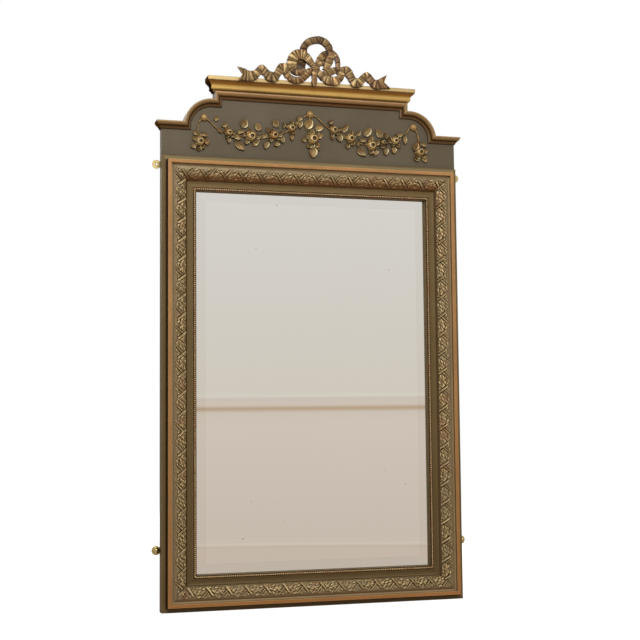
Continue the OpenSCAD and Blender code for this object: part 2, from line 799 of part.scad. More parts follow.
module ribbon_tail(s) {
    color(bronze) difference() {
        bow_layer(-bow_back, bow_front - tail_ground) intersection() {
            polygon(tail_outline(s));
            translate([s * (bow_split + 0.1 + frame_w / 2), 0]) square(frame_w, center = true);
        }
        cornice_seat();
    }
}

module bow_dowel(grow = 0) {
    translate([dowel_x, bow_back / 2 - cornice_face, bow_z + dowel_z])
        cylinder(r = dowel_r + grow, h = dowel_l, $fn = 32);
}

// Garland outlines, in (x, height above the top of the frame) on the crest board
boss_left_at = [-294, 103];
boss_centre_at = [-9, 128];
boss_right_at = [285, 109];

// Each garland is [stem points, roses as [x, z, radius], leaves as [x, z, tip x, tip z, width]]
garland_left_plan = [
    [[-250, 77], [-229, 66], [-205, 61], [-170, 60], [-145, 59], [-107, 67], [-84, 71], [-58, 86],
        [-44, 105], [-29, 115]],
    [[-229, 66, 10], [-170, 60, 12.5], [-107, 67, 10.5], [-58, 87, 10.5]],
    [[-262, 85, -258, 97, 10], [-257, 83, -262, 64, 8], [-247, 73, -234, 91, 8], [-229, 61, -230, 38, 9],
        [-212, 63, -193, 69, 8], [-205, 55, -217, 60, 8], [-196, 66, -180, 101, 17],
        [-211, 60, -189, 28, 15], [-159, 57, -166, 30, 11], [-150, 60, -146, 83, 17],
        [-145, 62, -122, 67, 11], [-137, 61, -133, 32, 13], [-126, 66, -123, 82, 8],
        [-111, 63, -96, 40, 10], [-99, 71, -109, 99, 11], [-86, 68, -83, 96, 8],
        [-88, 70, -84, 44, 11], [-78, 73, -74, 92, 7], [-62, 82, -60, 51, 10],
        [-54, 83, -42, 62, 7], [-50, 90, -36, 101, 8], [-36, 108, -30, 86, 10], [-50, 96, -28, 118, 11]]];

garland_right_plan = [
    [[30, 107], [57, 94], [76, 84], [102, 69], [128, 58], [163, 54], [199, 64], [231, 69],
        [249, 86], [261, 94]],
    [[57, 94, 10.5], [102, 69, 12], [163, 54, 13], [199, 65, 8.5], [231, 69, 10.5]],
    [[38, 102, 52, 118, 8], [32, 108, 31, 88, 8], [55, 90, 50, 64, 9], [76, 86, 74, 62, 12],
        [76, 81, 95, 105, 13], [92, 74, 88, 88, 8], [98, 66, 90, 40, 9], [108, 73, 130, 90, 8],
        [120, 60, 146, 66, 11], [134, 57, 161, 101, 19], [122, 58, 140, 46, 9], [124, 50, 146, 28, 13],
        [168, 46, 178, 28, 10], [174, 58, 181, 95, 14], [186, 69, 206, 86, 9], [203, 63, 198, 31, 11],
        [208, 60, 216, 78, 8], [229, 64, 224, 36, 11], [237, 67, 243, 44, 8], [230, 80, 252, 90, 8],
        [256, 92, 257, 66, 10], [190, 60, 180, 48, 8]]];

drop_left_plan = [
    [[-308, 96], [-307, 86], [-309, 76], [-311, 66], [-306, 52], [-302, 40]],
    [[-302, 39, 11.5]],
    [[-310, 70, -323, 58, 10], [-312, 68, -288, 56, 9], [-294, 46, -284, 30, 10],
        [-307, 36, -326, 22, 11], [-306, 32, -306, 16, 13]]];

drop_right_plan = [
    [[293, 99], [295, 88], [296, 78], [297, 66], [299, 54], [300, 42]],
    [[300, 41, 11]],
    [[297, 68, 279, 50, 10], [295, 71, 318, 61, 9], [295, 37, 287, 18, 11], [304, 37, 319, 20, 12],
        [290, 46, 282, 34, 8]]];

spray_plan = [
    [[-9, 108], [-6, 96], [-2, 76], [2, 66], [-1, 50], [-3, 36]],
    [[1, 65, 13.5]],
    [[-12, 82, -4, 107, 18], [3, 80, 26, 93, 15], [-10, 80, -26, 98, 11], [-8, 68, -28, 58, 9],
        [-2, 55, -16, 39, 9], [-1, 52, 16, 37, 9], [-3, 48, -2, 16, 15], [6, 74, 14, 86, 9]]];

// How much wider than drawn the garlands are at x: outside the middle they keep to the sweeps
function growth(x) = abs(x) < middle_x ? 1 : (sweep_x - middle_x) / (drawn_sweep[0] - middle_x);

// The place on the crest of a point of the plans
function on_crest(p) = [sign(p[0]) * (middle_x + (abs(p[0]) - middle_x) * growth(p[0])),
    p[1] + sweep_z - frame_h - drawn_sweep[1]];

// A stem laid on the crest board through the points
module stem(points) {
    front_plate(crest_t, crest_t + stem_r * 2) polygon(band(points, stem_r * 2, stem_r * 2));
}

module leaf(l) {
    run = [l[2] - l[0], l[3] - l[1]] * growth(l[0]);
    front_plate(crest_t, crest_t + sprig_t) translate(on_crest(l)) rotate(atan2(run[1], run[0]))
        translate([norm(run) / 2, 0]) polygon(vesica_points(norm(run), l[4] * growth(l[0])));
}

function rose_outline(r) = [for (i = [0:7 * petals - 1]) let (a = i * 360 / (7 * petals))
    r * (petal_dip + (1 - petal_dip) * abs(sin(a * petals / 2))) * [cos(a), sin(a)]];

// A rose: low petals, a round cup in them and a hollow heart
module rose(q) {
    r = q[2];
    at = on_crest(q);
    translate([at[0], -crest_t, at[1]]) rotate([90, 0, 0]) {
        linear_extrude(rose_t * petal_t) polygon(rose_outline(r));
        linear_extrude(rose_t * cup_t) polygon(ring_points(r * cup_r));
        difference() {
            linear_extrude(rose_t) polygon(ring_points(r * bud_r));
            translate([0, 0, rose_t * petal_t]) linear_extrude(rose_t) polygon(ring_points(r * heart_r));
        }
    }
}

module garland(plan, from) {
    points = [for (p = plan[0]) on_crest(p)];
    boss_at = on_crest(from);
    start = boss_at + (boss_r + stem_gap) * unit(points[0] - boss_at);
    color(bronze) translate([0, 0, frame_h]) {
        stem(concat([start], points));
        for (q = plan[1]) rose(q);
        for (l = plan[2]) leaf(l);
    }
}

// Moves a piece from its place over the bottom of the frame to the origin
module on_wall() {
    translate([0, 0, -origin_z]) children();
}

module boss(drawn_at) {
    at = on_crest(drawn_at);
    color(bronze) translate([at[0], -crest_t, frame_h + at[1]]) rotate([90, 0, 0])
        rotate_extrude($fn = 64) polygon(concat([[0, 0], [boss_r, 0], [boss_r, boss_t * 0.3],
            [boss_r * 0.86, boss_t * 0.4]], arc([0, boss_t * 0.3], boss_t * 0.7, 30, 90, 6)));
}

on_wall() mirror([1, 0, 0]) frame_stile();  // frame_stile_left
on_wall() frame_stile();  // frame_stile_right
on_wall() frame_rail_top();
on_wall() frame_rail_bottom();
on_wall() mitre_keys();
on_wall() at_left() ornament(frame_h);  // ornament_left
on_wall() at_right() ornament(frame_h);  // ornament_right
on_wall() at_top() ornament(frame_w);  // ornament_top
on_wall() at_bottom() ornament(frame_w);  // ornament_bottom
on_wall() at_left() pearls(frame_h);  // pearls_left
on_wall() at_right() pearls(frame_h);  // pearls_right
on_wall() at_top() pearls(frame_w);  // pearls_top
on_wall() at_bottom() pearls(frame_w);  // pearls_bottom
on_wall() mirror_plate();
on_wall() glass_wedges();
on_wall() backboard(0);  // backboard_1
on_wall() backboard(1);  // backboard_2
on_wall() backboard(2);  // backboard_3
on_wall() backboard(3);  // backboard_4
on_wall() backboard_nails();
on_wall() crest_board();
on_wall() mirror([1, 0, 0]) shoulder_moulding();  // shoulder_moulding_left
on_wall() shoulder_moulding();  // shoulder_moulding_right
on_wall() mirror([1, 0, 0]) shoulder_return();  // shoulder_return_left
on_wall() shoulder_return();  // shoulder_return_right
on_wall() mirror([1, 0, 0]) sweep_moulding();  // sweep_moulding_left
on_wall() sweep_moulding();  // sweep_moulding_right
on_wall() mirror([1, 0, 0]) sweep_end();  // sweep_end_left
on_wall() sweep_end();  // sweep_end_right
on_wall() mirror([1, 0, 0]) riser_moulding();  // riser_moulding_left
on_wall() riser_moulding();  // riser_moulding_right
on_wall() centre_moulding();
on_wall() cornice_front();
on_wall() mirror([1, 0, 0]) cornice_return();  // cornice_return_left
on_wall() cornice_return();  // cornice_return_right
on_wall() mirror([1, 0, 0]) crest_batten();  // crest_batten_left
on_wall() crest_batten();  // crest_batten_right
on_wall() color(steel) both_sides() batten_screws_at();  // batten_screws
on_wall() ribbon_bow();
on_wall() bow_knot();
on_wall() ribbon_tail(-1);  // ribbon_tail_left
on_wall() ribbon_tail(1);  // ribbon_tail_right
on_wall() color(pine) both_sides() bow_dowel();  // bow_dowels
on_wall() boss(boss_left_at);  // boss_left
on_wall() boss(boss_centre_at);  // boss_centre
on_wall() boss(boss_right_at);  // boss_right
on_wall() garland(garland_left_plan, boss_left_at);  // garland_left
on_wall() garland(garland_right_plan, boss_centre_at);  // garland_right
on_wall() garland(drop_left_plan, boss_left_at);  // drop_left
on_wall() garland(drop_right_plan, boss_right_at);  // drop_right
on_wall() garland(spray_plan, boss_centre_at);  // centre_spray
on_wall() mirror([1, 0, 0]) fixing_plate(plate_top_z);  // fixing_plate_top_left
on_wall() fixing_plate(plate_top_z);  // fixing_plate_top_right
on_wall() mirror([1, 0, 0]) fixing_plate(plate_low_z);  // fixing_plate_low_left
on_wall() fixing_plate(plate_low_z);  // fixing_plate_low_right
on_wall() color(steel) both_sides() {  // plate_screws
    plate_screws_at(plate_low_z);
    plate_screws_at(plate_top_z);
}
on_wall() mirror([1, 0, 0]) dome_cover();  // dome_cover_left
on_wall() dome_cover();  // dome_cover_right
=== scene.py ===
"""Looks of the tall wall mirror: carved and moulded pieces in full relief, aged gilt and paint,
silvered glass, brass and bare softwood, with a studio floor, lights and a camera."""
import math

import bmesh
import bpy
import numpy as np
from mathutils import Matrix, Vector

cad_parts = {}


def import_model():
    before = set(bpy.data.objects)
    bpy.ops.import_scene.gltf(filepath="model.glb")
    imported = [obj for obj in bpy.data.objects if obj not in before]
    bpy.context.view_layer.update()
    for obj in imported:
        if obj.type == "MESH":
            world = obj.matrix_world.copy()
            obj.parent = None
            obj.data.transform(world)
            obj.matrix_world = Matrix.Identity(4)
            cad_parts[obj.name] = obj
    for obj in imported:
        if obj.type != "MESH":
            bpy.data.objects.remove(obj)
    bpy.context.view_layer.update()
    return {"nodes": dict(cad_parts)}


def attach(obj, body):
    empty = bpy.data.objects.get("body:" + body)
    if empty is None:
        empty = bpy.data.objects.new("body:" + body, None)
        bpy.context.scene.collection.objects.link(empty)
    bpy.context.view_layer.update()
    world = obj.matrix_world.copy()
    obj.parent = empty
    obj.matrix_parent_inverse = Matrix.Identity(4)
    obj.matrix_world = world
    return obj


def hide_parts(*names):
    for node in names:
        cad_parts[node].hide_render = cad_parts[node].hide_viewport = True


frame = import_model()
nodes = frame["nodes"]

# The frame's outline and profile, in metres, as the solids have them
HALF_W = 0.4025
FRAME_H = 1.153
BOTTOM = -0.6425
TOP = BOTTOM + FRAME_H
BED_OUTER = 0.0285
BED_W = 0.035
BED_DROP = 0.013
BED_RISE = 0.007
FILLET_Y = -0.043
STRIP_T = 0.002

# The profile's whole width, the middle of its raised band and the inner edge of the glass's bevel,
# all from the frame's outer edge
PROFILE_W = 0.092
BAND_MIDDLE = 0.0175
BEVEL_INSIDE = 0.117

# The pearl moulding's foot and how far its pearls stand out
PEARL_FOOT_Y = -0.0275
PEARL_H = 0.0048

# The crest
CREST_FACE = -0.023
CORNICE_DEPTH = 0.020
CORNICE_FACE = CREST_FACE - CORNICE_DEPTH
EDGE_DEPTH = 0.014
CREST_TOP = BOTTOM + 1.365
CENTRE_HALF_W = 0.2645

MM = 0.001


# Materials

def tone(red, green, blue):
    """A colour given as screen values from 0 to 255."""
    def linear(value):
        share = value / 255
        return share / 12.92 if share <= 0.04045 else ((share + 0.055) / 1.055) ** 2.4
    return (linear(red), linear(green), linear(blue), 1)


class Nodes:
    """Builds one node tree, a node at a time."""

    def __init__(self, tree):
        self.tree = tree
        tree.nodes.clear()

    def node(self, kind, **settings):
        made = self.tree.nodes.new(kind)
        for key, value in settings.items():
            setattr(made, key, value)
        return made

    def feed(self, socket, value):
        if isinstance(value, bpy.types.NodeSocket):
            self.tree.links.new(value, socket)
        else:
            socket.default_value = value

    def math(self, operation, first, second=0.0, clamp=False):
        made = self.node("ShaderNodeMath", operation=operation, use_clamp=clamp)
        self.feed(made.inputs[0], first)
        self.feed(made.inputs[1], second)
        return made.outputs[0]

    def part_of(self, vector, letter):
        """A vector's X, Y or Z."""
        made = self.node("ShaderNodeSeparateXYZ")
        self.feed(made.inputs[0], vector)
        return made.outputs[letter]

    def span(self, value, low, high, to_low=0.0, to_high=1.0):
        made = self.node("ShaderNodeMapRange", clamp=True)
        self.feed(made.inputs["Value"], value)
        limits = {"From Min": low, "From Max": high, "To Min": to_low, "To Max": to_high}
        for key, number in limits.items():
            made.inputs[key].default_value = number
        return made.outputs[0]

    def ramp(self, value, stops):
        """Colours along value, as [(place from 0 to 1, colour), ...]."""
        made = self.node("ShaderNodeValToRGB")
        self.feed(made.inputs[0], value)
        elements = made.color_ramp.elements
        while len(elements) > 1:
            elements.remove(elements[-1])
        elements[0].position, elements[0].color = stops[0]
        for place, colour in stops[1:]:
            elements.new(place).color = colour
        return made.outputs["Color"]

    def mix(self, share, first, second, blend="MIX"):
        """The first colour where the share is 0. Where it is 1, the second or its blend with the first."""
        made = self.node("ShaderNodeMix", data_type="RGBA", blend_type=blend)
        self.feed(made.inputs[0], share)
        self.feed(made.inputs[6], first)
        self.feed(made.inputs[7], second)
        return made.outputs[2]

    def patched(self, colour, other, level, low, high, amount, blend="MIX"):
        """A colour with another over it where a level rises from low to high, up to this amount."""
        return self.mix(self.span(level, low, high, 0, amount), colour, other, blend)

    def shader(self, kind, colour, strength=None):
        made = self.node(kind)
        self.feed(made.inputs["Color"], colour)
        if strength is not None:
            made.inputs["Strength"].default_value = strength
        return made.outputs[0]

    def either(self, when, first, second):
        """The second shader for rays of that kind and the first for the others."""
        made = self.node("ShaderNodeMixShader")
        self.feed(made.inputs[0], when)
        self.feed(made.inputs[1], first)
        self.feed(made.inputs[2], second)
        return made.outputs[0]


class Paint(Nodes):
    """Builds one procedural material."""

    def __init__(self, name):
        self.material = bpy.data.materials.new(name)
        self.material.use_nodes = True
        super().__init__(self.material.node_tree)
        self.position = self.node("ShaderNodeTexCoord").outputs["Object"]

    def axis(self, letter):
        """How far a place lies along X, Y or Z, in metres."""
        return self.part_of(self.position, letter)

    def stretched(self, x, y, z):
        """The position with each axis scaled, for streaks and grain."""
        made = self.node("ShaderNodeMapping")
        self.feed(made.inputs["Vector"], self.position)
        made.inputs["Scale"].default_value = (x, y, z)
        return made.outputs[0]

    def noise(self, scale, detail, roughness=0.55, where=None):
        made = self.node("ShaderNodeTexNoise")
        self.feed(made.inputs["Vector"], where or self.position)
        made.inputs["Scale"].default_value = scale
        made.inputs["Detail"].default_value = detail
        made.inputs["Roughness"].default_value = roughness
        return made.outputs["Fac"]

    def hollows(self, distance):
        """1 in open places, less where other surfaces stand close."""
        made = self.node("ShaderNodeAmbientOcclusion", samples=8)
        made.inputs["Distance"].default_value = distance
        return made.outputs["AO"]

    def attribute(self, name):
        return self.node("ShaderNodeAttribute", attribute_name=name).outputs["Fac"]

    def bump(self, height, distance):
        """A normal for a surface whose height varies by this distance, in metres."""
        made = self.node("ShaderNodeBump")
        self.feed(made.inputs["Height"], height)
        made.inputs["Distance"].default_value = distance
        made.inputs["Strength"].default_value = 1.0
        return made.outputs[0]

    def finish(self, colour, roughness, metallic, normal, specular=0.5):
        shader = self.node("ShaderNodeBsdfPrincipled")
        self.feed(shader.inputs["Base Color"], colour)
        self.feed(shader.inputs["Roughness"], roughness)
        self.feed(shader.inputs["Metallic"], metallic)
        shader.inputs["Specular IOR Level"].default_value = specular
        self.feed(shader.inputs["Normal"], normal)
        return self.cover(shader.outputs[0])

    def cover(self, shader):
        """The material, with this shader all over its surface."""
        self.feed(self.node("ShaderNodeOutputMaterial").inputs["Surface"], shader)
        return self.material


OLIVE = tone(126, 108, 76)
OLIVE_DARK = tone(82, 68, 42)
OLIVE_PALE = tone(152, 140, 104)
TAUPE = tone(176, 154, 118)
UMBER = tone(54, 36, 15)
UMBER_SOFT = tone(90, 63, 33)
COPPER = tone(186, 143, 94)
COPPER_PINK = tone(204, 152, 112)
COPPER_PALE = tone(212, 178, 130)
COVE = tone(154, 132, 96)
BRONZE_PALE = tone(214, 186, 134)


def grime_and_shade(paint, colour, reach, amount, closed=0.3, opened=0.9):
    """Dirt and painted shade over a colour, from the closed hollows, where it is full, to the open places.
    """
    dirt = paint.span(paint.hollows(reach), closed, opened, amount, 0)
    return paint.mix(dirt, colour, UMBER)


def aged(paint, colour, wear, dirt_and_shade_amount):
    """Cloudy variation, fine rubbing, and dirt with painted shade in the hollows over a colour."""
    colour = paint.patched(colour, OLIVE_DARK, paint.noise(9, 5), 0.35, 0.7, wear)
    colour = paint.patched(colour, BRONZE_PALE, paint.noise(180, 6, 0.7), 0.62, 0.78, wear)
    return grime_and_shade(paint, colour, 0.012, dirt_and_shade_amount, 0.35, 0.95)


def brushed_bump(paint, height=0.00012):
    """The fine unevenness of brushed paint or gilt, of this height in metres."""
    coarse = paint.noise(60, 5, 0.6)
    fine = paint.noise(900, 3, 0.6)
    return paint.bump(paint.math("ADD", coarse, paint.math("MULTIPLY", fine, 0.35)), height)


def edge_distances(paint):
    """How far a place lies from the frame's sides, from its top and from its nearest outer edge."""
    z = paint.axis("Z")
    from_side = paint.math("SUBTRACT", HALF_W, paint.math("ABSOLUTE", paint.axis("X")))
    from_bottom = paint.math("SUBTRACT", z, BOTTOM)
    from_top = paint.math("SUBTRACT", TOP, z)
    nearest = paint.math("MINIMUM", from_side, paint.math("MINIMUM", from_bottom, from_top))
    return from_side, from_top, nearest


def frame_paint():
    """The moulded frame: colours change with the distance from its outer edge."""
    paint = Paint("aged_frame_paint")
    from_side, from_top, inwards = edge_distances(paint)
    # Each stop's place is in mm from the outer edge
    # The umber stops are painted shade: beside the band's outer wall on the sides, along its inner edge,
    # where the bed meets the cove and round the pearls. The top rail has a pale strip beside the band
    # instead.
    bed_and_cove = [(23.1, TAUPE), (28.0, TAUPE), (62.5, UMBER), (65.0, UMBER), (66.0, COVE),
                    (73.6, COVE), (74.4, tone(140, 102, 64)), (75.4, COVE), (80.5, COVE),
                    (81.5, UMBER_SOFT), (87.0, UMBER), (92.0, UMBER_SOFT)]
    band = [(13.4, COPPER_PALE), (14.5, COPPER), (20.5, COPPER), (22.0, COPPER_PALE)]
    shoulder_at_sides = [(0, OLIVE), (9.0, OLIVE), (9.8, UMBER), (12.9, UMBER)]
    shoulder_at_top = [(0, OLIVE), (2.5, OLIVE), (4.5, OLIVE_PALE), (12.9, OLIVE_PALE)]
    place = paint.math("DIVIDE", inwards, PROFILE_W)

    def striped(stops):
        return paint.ramp(place, [(at * MM / PROFILE_W, colour) for at, colour in stops])

    sides = striped(shoulder_at_sides + band + [(22.5, UMBER_SOFT)] + bed_and_cove)
    top = striped(shoulder_at_top + band + [(22.6, UMBER)] + bed_and_cove)
    on_top = paint.math("LESS_THAN", from_top, paint.math("ADD", from_side, 0.0001))
    stripes = paint.mix(on_top, sides, top)
    from_band = paint.math("ABSOLUTE", paint.math("SUBTRACT", inwards, BAND_MIDDLE))
    on_band = paint.span(from_band, 0.004, 0.0048, 1, 0)
    across = paint.noise(1, 3, 0.6, paint.stretched(40, 40, 5))
    along = paint.noise(1, 3, 0.6, paint.stretched(5, 40, 40))
    streak = paint.span(paint.math("MAXIMUM", across, along), 0.5, 0.72)
    pinked = paint.mix(paint.math("MULTIPLY", streak, on_band), stripes, COPPER_PINK)
    low = paint.span(paint.axis("Z"), BOTTOM, 0.2, 0.55, 0)
    warm = paint.mix(paint.math("MULTIPLY", low, on_band), pinked, tone(170, 114, 60))
    # What lies behind this depth has plain paint
    front = paint.span(paint.axis("Y"), -0.0325, -0.028, 1, 0)
    colour = paint.mix(front, paint.mix(low, OLIVE, OLIVE_DARK), warm)
    return paint.finish(aged(paint, colour, 0.22, 0.35), 0.5, 0.12, brushed_bump(paint), 0.12)


def projecting_paint(name, side_x, depth, stops, metallic, specular=0.5):
    """A moulding on the crest: colours change with how far it stands out, up to its depth, from the
    crest's face or from this distance to either side. Its level top has one colour."""
    paint = Paint(name)
    from_face = paint.math("SUBTRACT", CREST_FACE, paint.axis("Y"))
    from_side = paint.math("SUBTRACT", paint.math("ABSOLUTE", paint.axis("X")), side_x)
    out = paint.math("DIVIDE", paint.math("MAXIMUM", from_face, from_side), depth)
    colour = paint.ramp(out, stops)
    top = paint.span(paint.axis("Z"), CREST_TOP - 0.0008, CREST_TOP - 0.0002)
    colour = paint.mix(top, colour, tone(150, 118, 66))
    return paint.finish(aged(paint, colour, 0.2, 0.3), 0.42, metallic, brushed_bump(paint), specular)


def cornice_paint():
    """Worn gilt with painted light and shade, bright on the cornice's beads and brown in its hollows."""
    # A painted highlight runs along the bead, dark lines of painted shade lie at the foot and under the
    # fascia, and the hollow's down-facing part is painted lighter against its real shade
    stops = [(0.0, tone(80, 52, 20)), (0.17, tone(96, 66, 26)), (0.22, tone(176, 136, 70)),
             (0.31, tone(204, 164, 86)), (0.37, tone(216, 182, 108)), (0.41, tone(238, 214, 146)),
             (0.46, tone(220, 186, 110)), (0.53, tone(204, 162, 84)), (0.61, tone(184, 134, 56)),
             (0.8, tone(164, 114, 42)), (0.91, tone(140, 96, 38)), (0.955, tone(96, 62, 22)),
             (0.97, tone(160, 122, 60)), (0.985, tone(204, 176, 120)), (1, tone(210, 184, 130))]
    return projecting_paint("worn_and_shaded_cornice_gilt", CENTRE_HALF_W, CORNICE_DEPTH, stops, 0.4)


def shaded_gilt():
    """The ends of the mouldings, with the gilt painted dark as painted shade."""
    stops = [(0.0, UMBER), (0.5, tone(64, 42, 18)), (0.9, tone(70, 48, 22)), (1, tone(108, 82, 44))]
    return projecting_paint("dark_end_gilt", CENTRE_HALF_W, CORNICE_DEPTH, stops, 0.0, 0.0)


def edge_paint():
    """The mouldings along the crest's shoulders, sweeps and risers."""
    # The dark stops at the foot and in the hollow are painted shade
    stops = [(0.0, UMBER), (0.2, tone(64, 42, 18)), (0.3, tone(112, 82, 46)), (0.42, tone(132, 98, 58)),
             (0.52, tone(84, 54, 22)), (0.62, tone(106, 78, 42)), (0.78, tone(126, 98, 58)),
             (0.9, tone(150, 122, 80)), (1, tone(166, 138, 96))]
    return projecting_paint("edge_gilt", HALF_W, EDGE_DEPTH, stops, 0.2)


def copper_edge_paint():
    """The moulding under the cornice, which is redder than the others."""
    # The dark stops at the foot and in the hollow are painted shade
    stops = [(0.0, UMBER), (0.2, tone(66, 42, 18)), (0.3, tone(120, 84, 46)), (0.42, tone(138, 98, 56)),
             (0.52, tone(76, 46, 18)), (0.6, tone(112, 76, 38)), (0.7, tone(142, 106, 62)),
             (0.86, tone(156, 120, 76)), (1, tone(186, 150, 110))]
    return projecting_paint("copper_edge_gilt", HALF_W, EDGE_DEPTH, stops, 0.2)


def frieze_paint():
    """Dull olive-grey paint with dark spots, with painted shade darkening the crest's sides and back."""
    paint = Paint("aged_frieze_paint")
    cloud = paint.noise(5, 5, 0.6)
    stops = [(0.3, tone(84, 73, 54)), (0.5, tone(93, 83, 64)), (0.7, tone(101, 92, 74))]
    colour = paint.ramp(cloud, stops)
    colour = paint.patched(colour, UMBER_SOFT, paint.noise(70, 2), 0.69, 0.72, 0.5)
    # The crest's sides and back are painted darker: painted shade
    behind = paint.span(paint.axis("Y"), CREST_FACE + 0.0005, CREST_FACE + 0.001)
    colour = paint.mix(behind, colour, OLIVE_DARK)
    # Dirt and painted shade darken it near the mouldings and the carving
    colour = grime_and_shade(paint, colour, 0.02, 0.6, 0.4, 0.95)
    return paint.finish(colour, 0.55, 0.05, brushed_bump(paint, 0.00018))


def uneven_relief(paint, noise, amount):
    """The piece's own relief attribute, a level of painted light and shade, 0 in a hollow and 1 on a
    ridge, made uneven by this much.
    """
    change = paint.span(noise, 0.3, 0.7, -amount, amount)
    return paint.math("ADD", paint.attribute("relief"), change, clamp=True)


def relief_gilt(name, ground, middle, high, blush):
    """Gilt over carving, which darkens to the ground colour in patches and blushes in others. Painted
    highlights lie on its ridges, and painted shade with dirt lies in its hollows.
    """
    paint = Paint(name)
    noise = paint.noise(120, 4, 0.6)
    level = uneven_relief(paint, noise, 0.07)
    colour = paint.ramp(level, [(0.0, UMBER), (0.22, ground), (0.55, middle), (0.85, high), (1, high)])
    colour = paint.patched(colour, blush, paint.noise(30, 3), 0.52, 0.62, 0.5, "MULTIPLY")
    spread = paint.noise(22, 4, 0.5, paint.stretched(1, 1, 1.6))
    colour = grime_and_shade(paint, paint.patched(colour, ground, spread, 0.54, 0.66, 0.3), 0.006, 0.8)
    rough = paint.span(noise, 0.3, 0.7, 0.36, 0.54)
    return paint.finish(colour, rough, 0.3, brushed_bump(paint, 0.0001))


def ornament_gilt(name, start, full, shade_tint, amount):
    """Worn gilt with painted highlights on ridges and painted shade in hollows, and a darker colour of
    painted shade that sets in between two places across the ornament, from 0 outside to 1 inside.
    """
    paint = Paint(name)
    noise = paint.noise(160, 5, 0.65)
    level = uneven_relief(paint, noise, 0.16)
    colour = paint.ramp(level, [(0, UMBER), (0.2, tone(90, 68, 38)), (0.4, tone(132, 114, 80)),
                                (0.6, tone(158, 134, 92)), (0.85, tone(226, 202, 150)),
                                (1, tone(236, 216, 170))])
    colour = paint.patched(colour, tone(140, 128, 102), paint.noise(34, 4), 0.45, 0.62, 0.4)
    colour = paint.patched(colour, tone(156, 110, 80), paint.noise(22, 4), 0.54, 0.64, 0.4)
    across = paint.attribute("across")
    colour = paint.mix(paint.span(across, 0.08, 0.28, 0.6, 0), colour, tone(140, 124, 98))
    # Painted shade: in the sides' inner groove, on the top rail's lower half and the bottom rail's outer
    # edge
    colour = paint.patched(colour, shade_tint, across, start, full, amount)
    rough = paint.span(noise, 0.3, 0.7, 0.36, 0.54)
    return paint.finish(grime_and_shade(paint, colour, 0.004, 0.55), rough, 0.3, brushed_bump(paint, 0.0001))


def pearl_gilt():
    """Gilt pearls, with a painted highlight on their heads and painted shade between them."""
    paint = Paint("pearl_gilt_lit_and_shaded")
    stand = paint.math("DIVIDE", paint.math("SUBTRACT", PEARL_FOOT_Y, paint.axis("Y")), PEARL_H)
    colour = paint.ramp(stand, [(0.3, tone(40, 26, 10)), (0.55, UMBER), (0.8, tone(176, 140, 92)),
                                (1, tone(238, 212, 160))])
    colour = paint.patched(colour, tone(140, 92, 62), paint.noise(45, 3), 0.5, 0.65, 0.5)
    return paint.finish(colour, 0.45, 0.3, brushed_bump(paint, 0.0001))


def eased_slope(paint, kept):
    """A normal that keeps only this share of the slope of forward faces, and all of it elsewhere."""
    normal = paint.node("ShaderNodeNewGeometry").outputs["Normal"]
    share = paint.span(paint.part_of(normal, "Y"), -0.95, -0.9, kept, 1)
    eased = paint.node("ShaderNodeMix", data_type="VECTOR")
    paint.feed(eased.inputs[0], share)
    eased.inputs[4].default_value = (0, -1, 0)
    paint.feed(eased.inputs[5], normal)
    unit = paint.node("ShaderNodeVectorMath", operation="NORMALIZE")
    paint.feed(unit.inputs[0], eased.outputs[1])
    return unit.outputs[0]


def silvered_glass():
    """The mirror plate, whose shallow bevel bends the reflection only a little."""
    paint = Paint("silvered_glass")
    specks = paint.span(paint.noise(55, 2, 0.5), 0.745, 0.77)
    colour = paint.patched(tone(248, 247, 245), tone(232, 228, 220), paint.noise(3, 3), 0.3, 0.7, 0.05)
    # Painted reflection: the bevel is a little darker and a thin bright line runs along its inner edge
    from_bevel = paint.math("SUBTRACT", edge_distances(paint)[2], BEVEL_INSIDE)
    on_bevel = paint.span(from_bevel, -0.0005, 0.0, 1, 0)
    colour = paint.mix(on_bevel, colour, tone(243, 241, 238))
    line = paint.span(paint.math("ABSOLUTE", from_bevel), 0.0006, 0.0014, 0.35, 0)
    colour = paint.mix(line, colour, tone(255, 255, 252))
    colour = paint.mix(paint.math("MULTIPLY", specks, 0.55), colour, tone(150, 138, 120))
    rough = paint.span(specks, 0, 1, 0.015, 0.3)
    return paint.finish(colour, rough, 1.0, eased_slope(paint, 0.2))


def brass():
    paint = Paint("polished_brass")
    tarnish = paint.span(paint.noise(120, 4), 0.45, 0.7)
    colour = paint.mix(tarnish, tone(206, 190, 138), tone(166, 146, 92))
    rough = paint.span(paint.noise(400, 3), 0.3, 0.7, 0.18, 0.34)
    return paint.finish(colour, rough, 1.0, paint.bump(paint.noise(700, 3), 0.00004))


def softwood(name, scale, light, dark):
    """Bare wood with its grain along the piece's long axis."""
    paint = Paint(name)
    where = paint.stretched(*scale)
    rings = paint.node("ShaderNodeTexWave", wave_type="BANDS", bands_direction="DIAGONAL")
    paint.feed(rings.inputs["Vector"], where)
    rings.inputs["Scale"].default_value = 6
    rings.inputs["Distortion"].default_value = 9
    rings.inputs["Detail"].default_value = 3
    grain = paint.noise(30, 6, 0.65, where)
    level = paint.math("MULTIPLY", paint.math("ADD", rings.outputs["Fac"], grain), 0.5)
    colour = paint.ramp(level, [(0.25, dark), (0.75, light)])
    colour = paint.patched(colour, tone(120, 102, 78), paint.noise(6, 4), 0.4, 0.75, 0.45)
    # Dirt and painted shade in the hollows
    colour = grime_and_shade(paint, colour, 0.01, 0.6, 0.3, 0.95)
    return paint.finish(colour, 0.72, 0.0, paint.bump(level, 0.0003))


def dull_steel():
    paint = Paint("dull_steel")
    rust = paint.span(paint.noise(500, 4), 0.5, 0.7)
    colour = paint.mix(rust, tone(128, 126, 122), tone(96, 74, 54))
    rough = paint.span(rust, 0, 1, 0.4, 0.7)
    return paint.finish(colour, rough, 0.9, paint.bump(rust, 0.00005))


